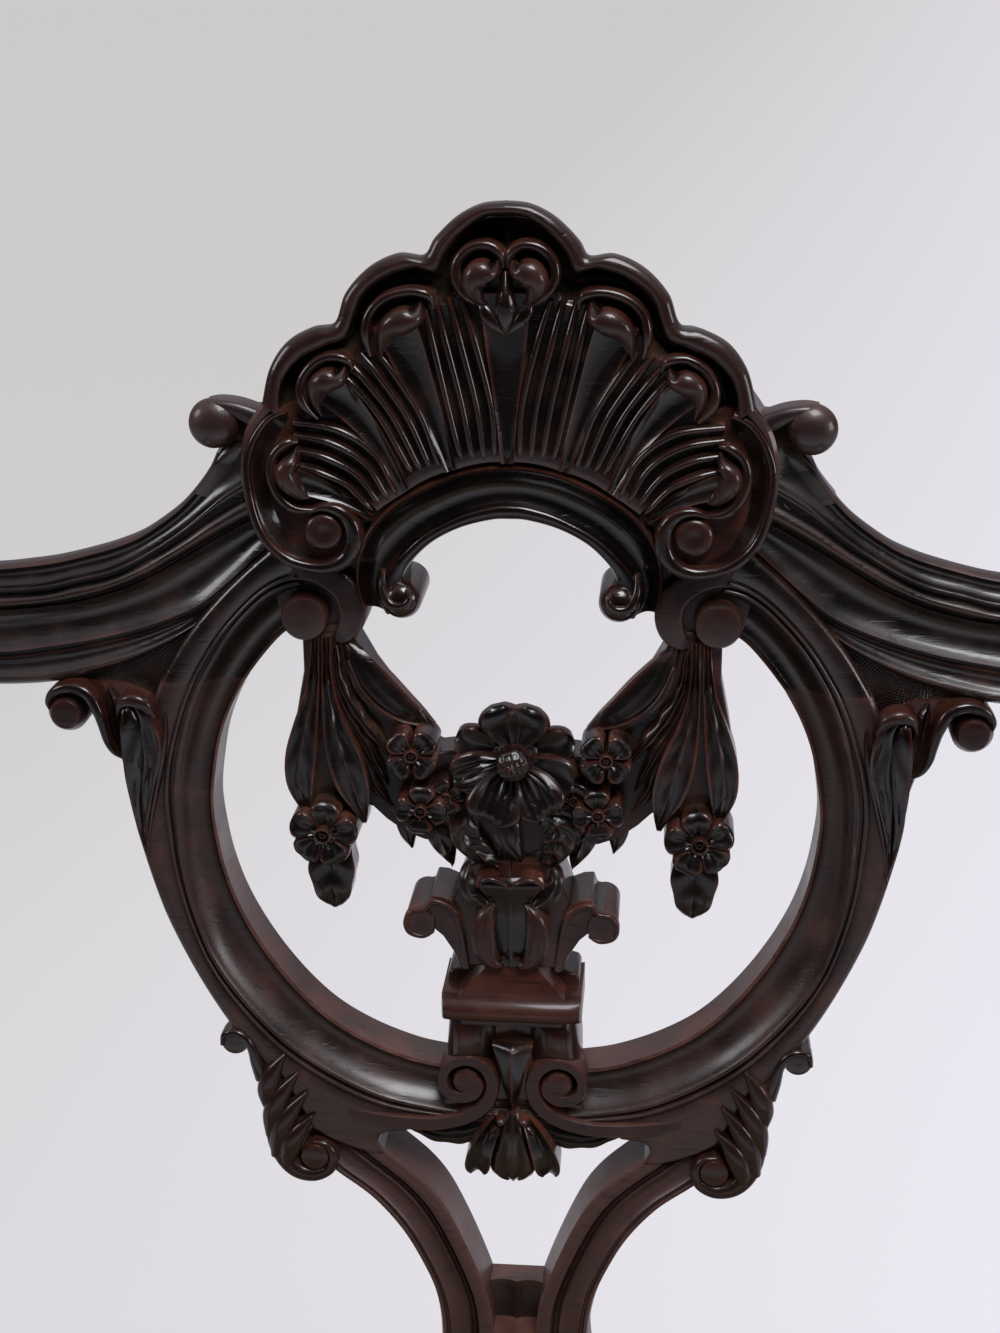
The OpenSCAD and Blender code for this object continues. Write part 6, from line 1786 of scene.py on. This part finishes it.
@dataclass
class Frame:
    """The seat rails, rear legs, brackets and shoe."""

    def build(self, frame: dict) -> list[tuple[Thing, str, str]]:
        """Shape each of them from its sawn blank.


        Returns:
            Each piece with the node it stands for and its grain's way.
        """
        out = []
        for side in ("left", "right"):
            leg = from_cad(frame, f"rear_leg_{side}", f"rear_leg_shaped_{side}")
            eased(leg, 2.4, 3, 30)
            out.append((leg, f"rear_leg_{side}", "upright"))
            for place in ("front", "side"):
                node = f"knee_bracket_{side}_{place}"
                bracket = from_cad(frame, node, f"{node}_shaped")
                eased(bracket, 1.6)
                out.append((bracket, node, "polish" if place == "front" else "deep"))
            rail = from_cad(frame, f"{side}_seat_rail", f"{side}_rail_planed")
            eased(rail, 1.4, 2)
            out.append((rail, f"{side}_seat_rail", "deep"))
        for node in ("front_seat_rail", "back_seat_rail", "splat_shoe"):
            rail = from_cad(frame, node, f"{node}_planed")
            eased(rail, 1.4, 2)
            out.append((rail, node, "polish"))
        return out


# The lift-out seat

LIP_IN = 12.0
SEAT_BACK = 436.0


def seat_outline(inset: float, share: float = 1, count: int = 24) -> Grid:
    """Draw the seat's outline with round corners.

    Args:
        inset: How far it stays inside the rebate, in millimetres.
        share: Its size as a share of the whole.
        count: Points along each side.

    Returns:
        Points (x, y) round the seat.
    """
    y0, y1 = LIP_IN + inset, SEAT_BACK - inset
    r = 9.0

    def half(y: float) -> float:
        """Give half the seat's width at a depth."""
        return FRONT_W - SPLAY * y - LIP_IN - inset
    corners = ((-half(y0) + r, y0 + r, 180), (half(y0) - r, y0 + r, 270), (half(y1) - r, y1 - r, 0),
        (-half(y1) + r, y1 - r, 90))
    pts = []
    for i, (x, y, a0) in enumerate(corners):
        for k in range(7):
            a = math.radians(a0 + 90 * k / 6)
            pts.append((x + r * math.cos(a), y + r * math.sin(a)))
        nx, ny, na = corners[(i + 1) % 4]
        end = (nx + r * math.cos(math.radians(na)), ny + r * math.sin(math.radians(na)))
        for k in range(1, count):
            pts.append((pts[-k][0] + (end[0] - pts[-k][0]) * k / count,
                pts[-k][1] + (end[1] - pts[-k][1]) * k / count))
    ring = np.array(pts)
    mid = np.array([0, (LIP_IN + SEAT_BACK) / 2])
    return mid + (ring - mid) * share


@dataclass
class DropInSeat:
    """The upholstered seat that lifts out of its rebate.

    Attributes:
        rise: How far the stuffing crowns over its edge before it swells.
        cap: The most that the cloth may move as it swells.
        grid: Mesh size of the swelling cloth, in millimetres.
        pressure: How hard the stuffing pushes.
        frames: How many frames the cloth has to settle.
    """

    rise: float = 27.0
    cap: float = 7.0
    grid: float = 6.0
    pressure: float = 4.0
    frames: int = 20

    def pad(self) -> Thing:
        """Form the crowned pad, let its cloth swell over the stuffing, and cap the swelling."""
        levels = [(3, 1, 431), (1.6, 1, 432), (1.4, 1, 437), (1.2, 1, 441)]
        levels += [(1.6, s, 442.0 + self.rise * (1 - s ** 2.3)) for s in (0.992, 0.97, 0.93, 0.87, 0.78,
            0.66, 0.52, 0.36, 0.2, 0.06)]
        rings = []
        for inset, share, z in levels:
            ring = seat_outline(inset, share)
            rings.append(in_chair(*ring.T, np.full(len(ring), z)))
        pad = loft(rings, crease=60)
        self.swell(pad)
        return pad

    def swell(self, pad: Thing) -> None:
        """Run the cloth on the pad and keep the capped result."""
        take(pad)
        remesh = pad.modifiers.new("remesh", "REMESH")
        remesh.mode = "VOXEL"
        remesh.voxel_size = self.grid * MM
        bpy.ops.object.modifier_apply(modifier=remesh.name)
        mesh = pad.data
        start = np.empty(len(mesh.vertices) * 3)
        mesh.vertices.foreach_get("co", start)
        start = start.reshape(-1, 3)
        held = pad.vertex_groups.new(name="held")
        held.add([int(i) for i in np.nonzero(start[:, 2] < CUSHION_EDGE)[0]], 1, "REPLACE")
        cloth = pad.modifiers.new("cloth", "CLOTH")
        rules = cloth.settings
        rules.quality = 5
        rules.mass = 0.3
        rules.use_pressure = True
        rules.uniform_pressure_force = self.pressure
        rules.vertex_group_mass = "held"
        rules.effector_weights.gravity = 0.0
        cloth.point_cache.frame_start = 1
        cloth.point_cache.frame_end = self.frames
        scene = bpy.context.scene
        for step in range(1, self.frames + 1):
            scene.frame_set(step)
        posed = pad.evaluated_get(bpy.context.evaluated_depsgraph_get())
        moved = np.empty(len(mesh.vertices) * 3)
        posed.data.vertices.foreach_get("co", moved)
        moved = moved.reshape(-1, 3)
        pad.modifiers.remove(cloth)
        scene.frame_set(1)
        step = moved - start
        length = np.linalg.norm(step, axis=1)[:, None]
        step *= np.minimum(1, self.cap * MM / np.maximum(length, 1e-9))
        edge = np.clip((start[:, 2:3] - CUSHION_EDGE) / 0.012, 0, 1)
        mesh.vertices.foreach_set("co", (start + step * edge).ravel())
        mesh.update()
        pad.vertex_groups.clear()
        sand = pad.modifiers.new("ease", "SMOOTH")
        sand.factor = 0.5
        sand.iterations = 4
        bpy.ops.object.modifier_apply(modifier=sand.name)
        finer = pad.modifiers.new("finer", "SUBSURF")
        finer.levels = finer.render_levels = 1
        bpy.ops.object.modifier_apply(modifier=finer.name)
        smooth(pad, 80)

    def skirt(self) -> Thing:
        """Wrap the cover down the seat frame's edge and under it."""
        rings = []
        for inset, z in ((2.6, 434), (2.6, 417.4), (20, 417.4), (20, 416.5), (3, 416.4), (1.6, 416.9),
                (1.2, 418), (1.2, 430), (1.6, 434)):
            ring = seat_outline(inset)
            rings.append(in_chair(*ring.T, np.full(len(ring), z)))
        return loft(rings, ring_closed=True, crease=50)

    def cover(self) -> Thing:
        """Join the pad and its skirt."""
        return join("seat_cushion", [self.pad(), self.skirt()])

    def webbing(self) -> Thing:
        """Weave the straps over and under each other."""
        straps = []
        mid = (LIP_IN + SEAT_BACK) / 2
        wide = 25.0
        for i in range(-2, 3):
            path = []
            for k in range(33):
                y = 30 + (418 - 30) * k / 32
                wave = math.cos(math.pi * ((y - mid) / 84 + 0.5 + i))
                path.append((i * 86, y, STRAP_LEVEL + wave, wide))
            straps.append(strip(path, blade(), rows=60, across=5, thick=1.3, page=in_chair))
        for j in range(4):
            y = mid + (j - 1.5) * 84
            half = FRONT_W - SPLAY * y - 32
            path = []
            for k in range(41):
                x = -half + 2 * half * k / 40
                wave = -math.cos(math.pi * (x / 86 + j))
                path.append((x, y, STRAP_LEVEL + wave, wide))
            straps.append(strip(path, blade(), rows=70, across=5, thick=1.3, page=in_chair))
        return join("seat_straps", straps)

    def cloth(self, name: str, inset: float, level: float, thick: float, sag: float) -> Thing:
        """Stretch a flat cloth in the seat frame.

        Args:
            name: The cloth's name.
            inset: Its distance inside the rebate, in millimetres.
            level: Height of its upper face.
            thick: Its thickness.
            sag: How far its middle hangs.

        Returns:
            The cloth.
        """
        rings = []
        shares = (0.02, 0.2, 0.4, 0.6, 0.8, 0.92, 1)
        rows = [(s, -thick) for s in shares] + [(s, 0) for s in reversed(shares)]
        for share, dz in rows:
            ring = seat_outline(inset, share, 8)
            z = level + dz - sag * (1 - share ** 2)
            rings.append(in_chair(*ring.T, np.full(len(ring), z)))
        return join(name, [loft(rings, crease=60)])


@dataclass(frozen=True)
class Cloth:
    """A woven finish.

    Attributes:
        name: The material's name.
        warp: Colour of the threads that run front to back.
        weft: Colour of the threads that run across.
        thread: Distance between threads in millimetres.
        figure: Repeat of the woven pattern in millimetres, or 0 for none.
        rough: Its roughness.
        sheen: Weight of its sheen.
    """

    name: str
    warp: Colour
    weft: Colour
    thread: float
    figure: float = 0.0
    rough: float = 0.85
    sheen: float = 0.3

    def make(self) -> Material:
        """Build the material."""
        material, tree, shader = blank(self.name)
        link = tree.links.new
        weave = shared(tree, "weave", weave_group)
        weave.inputs["Threads"].default_value = 1000.0 * math.pi / self.thread
        weave.inputs["Repeats"].default_value = 1000.0 * 2 * math.pi / self.figure if self.figure else 0.0
        colour = tint(tree, weave.outputs["Over"], self.warp, self.weft)
        if self.figure:
            light = tuple(min(1, 1.7 * c) for c in self.weft[:3]) + (1,)
            colour = tint(tree, times(tree, weave.outputs["Figure"], 0.75), colour, light)
        tired = tuple(0.62 * c for c in self.warp[:3]) + (1,)
        colour = tint(tree, ramp(tree, weave.outputs["Wear"], 0.45, 0.75, 0, 0.5), colour, tired)
        link(colour, shader.inputs["Base Color"])
        link(ramp(tree, weave.outputs["Figure"], 0, 1, self.rough, self.rough - 0.25),
            shader.inputs["Roughness"])
        bump = add(tree, "Bump", in_0=0.5, in_1=0.0005)
        link(combine(tree, "ADD", weave.outputs["Height"], times(tree, weave.outputs["Figure"], 0.8)),
            bump.inputs["Height"])
        link(bump.outputs[0], shader.inputs["Normal"])
        shader.inputs["Sheen Weight"].default_value = self.sheen
        shader.inputs["Specular IOR Level"].default_value = 0.25
        return material


def weave_group() -> Tree:
    """Build the group that crosses warp and weft, with a woven lattice of sprigs."""
    tree = new_group("weave", {"Threads": 2000, "Repeats": 100.0}, ["Over", "Height", "Figure", "Wear"])
    start, end = tree.nodes["In"], tree.nodes["Out"]
    link = tree.links.new
    place = add(tree, "TexCoord")
    split = add(tree, "SeparateXYZ", in_0=place.outputs["Object"])

    def wave(axis: int, rate: Socket) -> Socket:
        """Run a cosine along one axis."""
        return combine(tree, "COSINE", times(tree, split.outputs[axis], rate))
    across, along = wave(0, start.outputs["Threads"]), wave(1, start.outputs["Threads"])
    cross = times(tree, across, along)
    link(ramp(tree, cross, -0.3, 0.3), end.inputs["Over"])
    link(combine(tree, "ADD", combine(tree, "ABSOLUTE", across), combine(tree, "ABSOLUTE", along)),
        end.inputs["Height"])
    rate = start.outputs["Repeats"]
    twice = times(tree, rate, 2)
    thrice = times(tree, rate, 3)
    lattice = times(tree, wave(0, rate), wave(1, rate))
    sprig = times(tree, wave(0, twice), wave(1, thrice))
    shape = combine(tree, "ADD", lattice, times(tree, sprig, 0.55))
    link(ramp(tree, shape, 0.35, 0.5), end.inputs["Figure"])
    worn = add(tree, "TexNoise", in_2=9, in_3=4)
    link(place.outputs["Object"], worn.inputs["Vector"])
    link(worn.outputs[0], end.inputs["Wear"])
    return tree


DAMASK = Cloth("woven_gold_brown", rgb(0.21, 0.155, 0.095), rgb(0.26, 0.20, 0.13), 0.9, figure=62)
JUTE = Cloth("jute_webbing", rgb(0.46, 0.35, 0.20), rgb(0.56, 0.45, 0.29), 2.2)
HESSIAN = Cloth("hessian", rgb(0.44, 0.33, 0.19), rgb(0.52, 0.40, 0.25), 1.6)
BLACK_CLOTH = Cloth("black_bottom_cloth", rgb(0.012, 0.012, 0.013), rgb(0.02, 0.02, 0.022), 0.8, sheen=0.1)


# The photographer's corner

@dataclass
class Studio:
    """Camera, lights and backdrop.

    Attributes:
        eye: The camera's place in the back's plane, in millimetres.
        pitch: How far it looks down on the plane, in degrees.
        yaw: How far it looks across the plane, in degrees.
        roll: Its roll in degrees.
        focal_px: Its focal length in pixels of the photograph.
        frame_px: The photograph's width and height in pixels.
    """

    eye: tuple[float, float, float] = (61.10, 253.94, 734.61)
    pitch: float = 19.0
    yaw: float = 5.08
    roll: float = -0.44
    focal_px: float = 1950.0
    frame_px: tuple[int, int] = (1000, 1333)

    def camera(self) -> None:
        """Place the camera at the photograph's viewing angle."""
        across = Vector((1, 0, 0))
        up = Vector((0, math.sin(RECLINE), math.cos(RECLINE)))
        out = Vector((0, -math.cos(RECLINE), math.sin(RECLINE)))
        plane = Matrix((across, up, out)).transposed()
        turn = (Matrix.Rotation(math.radians(self.yaw), 3, "Y") @ Matrix.Rotation(-math.radians(self.pitch),
            3, "X") @ Matrix.Rotation(math.radians(self.roll), 3, "Z"))
        data = bpy.data.cameras.new("camera")
        data.sensor_fit = "VERTICAL"
        data.sensor_height = SENSOR
        data.lens = SENSOR * self.focal_px / self.frame_px[1]
        data.clip_start = 0.01
        camera = bpy.data.objects.new("camera", data)
        bpy.context.scene.collection.objects.link(camera)
        u, v, n = self.eye
        place = on_back(np.array(u), np.array(v), np.array(n))
        camera.matrix_world = Matrix.Translation(Vector(place)) @ (plane @ turn).to_4x4()
        bpy.context.scene.camera = camera

    def area(self, name: str, place: Sequence[float], aim: Sequence[float], size: float, power: float,
            colour: Sequence[float] = (1, 1, 1)) -> None:
        """Hang one soft lamp.

        Args:
            name: The lamp's name.
            place: Where it hangs, in metres.
            aim: Where it points.
            size: Its side in metres.
            power: Its power in watts.
            colour: Its colour.
        """
        data = bpy.data.lights.new(name, "AREA")
        data.size = size
        data.energy = power
        data.color = colour
        lamp = bpy.data.objects.new(name, data)
        lamp.location = place
        lamp.rotation_euler = (Vector(aim) - Vector(place)).to_track_quat("-Z", "Y").to_euler()
        bpy.context.scene.collection.objects.link(lamp)

    def lights(self) -> None:
        """Hang a window's worth of soft light high at the right and fills around it."""
        aim = (0, 0.1, 0.75)
        self.area("skylight", (0.35, -0.35, 2.3), aim, 0.75, 24, (0.96, 0.97, 1))
        self.area("left_window", (-1.6, -0.3, 1.7), aim, 0.6, 8, (0.95, 0.96, 1))
        self.area("right_window", (1.7, -0.4, 1.2), aim, 0.6, 7, (0.97, 0.96, 1))

    def backdrop(self) -> None:
        """Lay the pale floor and paint the far background; the floor's glow is painted lighter towards the
        right, and near the chair it glows for glossy rays as a painted reflection.
        """
        deselect_all()
        bpy.ops.mesh.primitive_circle_add(vertices=96, radius=9, fill_type="NGON")
        floor = bpy.context.object
        floor.name = "floor"
        material, tree, shader = blank("pale_floor")
        link = tree.links.new
        shader.inputs["Base Color"].default_value = (0.60, 0.60, 0.66, 1)
        shader.inputs["Roughness"].default_value = 0.9
        glow = add(tree, "Emission")
        rays = add(tree, "LightPath")
        place = add(tree, "TexCoord")
        # Painted light: the floor's glow runs from a darker, warmer left to a paler right.
        drift = add(tree, "VectorMath", operation="DOT_PRODUCT", in_0=place.outputs["Object"],
            in_1=(0.5, -0.12, 0))
        pale = tint(tree, ramp(tree, drift.outputs["Value"], -0.6, 0.2), rgb(0.735, 0.72, 0.70),
            rgb(1, 0.97, 1.05))
        link(pale, glow.inputs["Color"])
        # Painted reflection: near the chair the floor glows for glossy rays as well, fading out between 1.2
        # and 3.6 metres.
        reach = add(tree, "VectorMath", operation="LENGTH", in_0=place.outputs["Object"])
        near = ramp(tree, reach.outputs["Value"], 1.2, 3.6, 0.75, 0.03)
        painted_floor_reflection = times(tree, rays.outputs["Is Glossy Ray"], near)
        share = times(tree, combine(tree, "MAXIMUM", rays.outputs["Is Camera Ray"], painted_floor_reflection), 0.75)
        mix = add(tree, "MixShader", in_0=share, in_1=shader.outputs[0], in_2=glow.outputs[0])
        link(mix.outputs[0], tree.nodes["Material Output"].inputs[0])
        dress(floor, material)
        world = bpy.data.worlds.new("studio")
        bpy.context.scene.world = world
        world.use_nodes = True
        tree = world.node_tree
        link = tree.links.new
        rays = add(tree, "LightPath")
        ground = tree.nodes["Background"]
        place = add(tree, "TexCoord")
        lean = add(tree, "VectorMath", operation="DOT_PRODUCT", in_0=place.outputs["Generated"],
            in_1=(0, 0.5, 0.85))
        room = ramp(tree, lean.outputs["Value"], 0.15, 0.85, 0.026, 0.7)
        camera = rays.outputs["Is Camera Ray"]
        link(combine(tree, "MAXIMUM", room, camera), ground.inputs["Strength"])
        ground.inputs["Color"].default_value = (0.80, 0.79, 0.86, 1)

    def build(self) -> None:
        """Set up the whole corner."""
        self.camera()
        self.lights()
        self.backdrop()
        bpy.context.scene.view_settings.view_transform = "Standard"


def main() -> None:
    """Build the chair's looks, piece by piece."""
    logging.basicConfig(level=logging.INFO, format="%(name)s %(message)s")
    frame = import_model()
    Studio().build()
    finishes = (POLISH, POLISH_UPRIGHT, POLISH_DEEP, CARVED, SATIN_PAINTED_LIGHT, FLORAL, BEECH, STEEL)
    polish, upright, deep, carved, satin, floral, beech, steel = (finish.make() for finish in finishes)
    by_slot = {"mahogany": polish, "beech": beech, "steel": steel}
    for part in frame["record"]["subparts"]:
        node = frame["nodes"].get(part["node"])
        material = by_slot.get(part["material_slot"], beech)
        if node:
            for slot in node.material_slots:
                slot.material = material
    for sub_assembly, finish, node in ((Splat(), satin, "back_splat"), (CrestRail(), polish, "crest_rail"),
            (Shell(), carved, "crest_shell")):
        show(sub_assembly.build(), finish, [node])
    bracket, scroll = Bracket().build(), LowerScroll().build()
    for side, left in (("left", True), ("right", False)):
        for piece, node in ((bracket, "splat_bracket_"), (scroll, "splat_scroll_")):
            show(piece if left else mirrored(piece), carved, [node + side])
    for sub_assembly, node in ((Garland(), "flower_garland"), (Pedestal(), "garland_pedestal"),
            (Palmette(), "palmette_drop")):
        show(sub_assembly.build(), floral, [node])
    leg = FrontLeg().build(frame)
    arm, support = Armrest().arm(frame), Armrest().support(frame)
    for piece, node, finish in ((leg, "front_leg_", upright), (arm, "arm_", deep), (support, "arm_support_",
            upright)):
        show(piece, finish, [node + "left"])
        show(mirrored(piece), finish, [node + "right"])
    ways = {"polish": polish, "upright": upright, "deep": deep}
    for piece, node, way in Frame().build(frame):
        show(piece, ways[way], [node])
    seat = DropInSeat()
    cushion = seat.cover()
    show(cushion, DAMASK.make(), ["seat_cover", "seat_stuffing"], SEAT)
    show(seat.webbing(), JUTE.make(), ["seat_webbing"], SEAT)
    hessian = seat.cloth("seat_hessian_cloth", 9, 440.4, 0.8, 0)
    show(hessian, HESSIAN.make(), ["seat_hessian"], SEAT)
    under = seat.cloth("seat_under_cloth", 19, 417.3, 0.5, 1.2)
    show(under, BLACK_CLOTH.make(), ["seat_bottom_cloth"], SEAT)


if __name__ == "__main__":
    main()
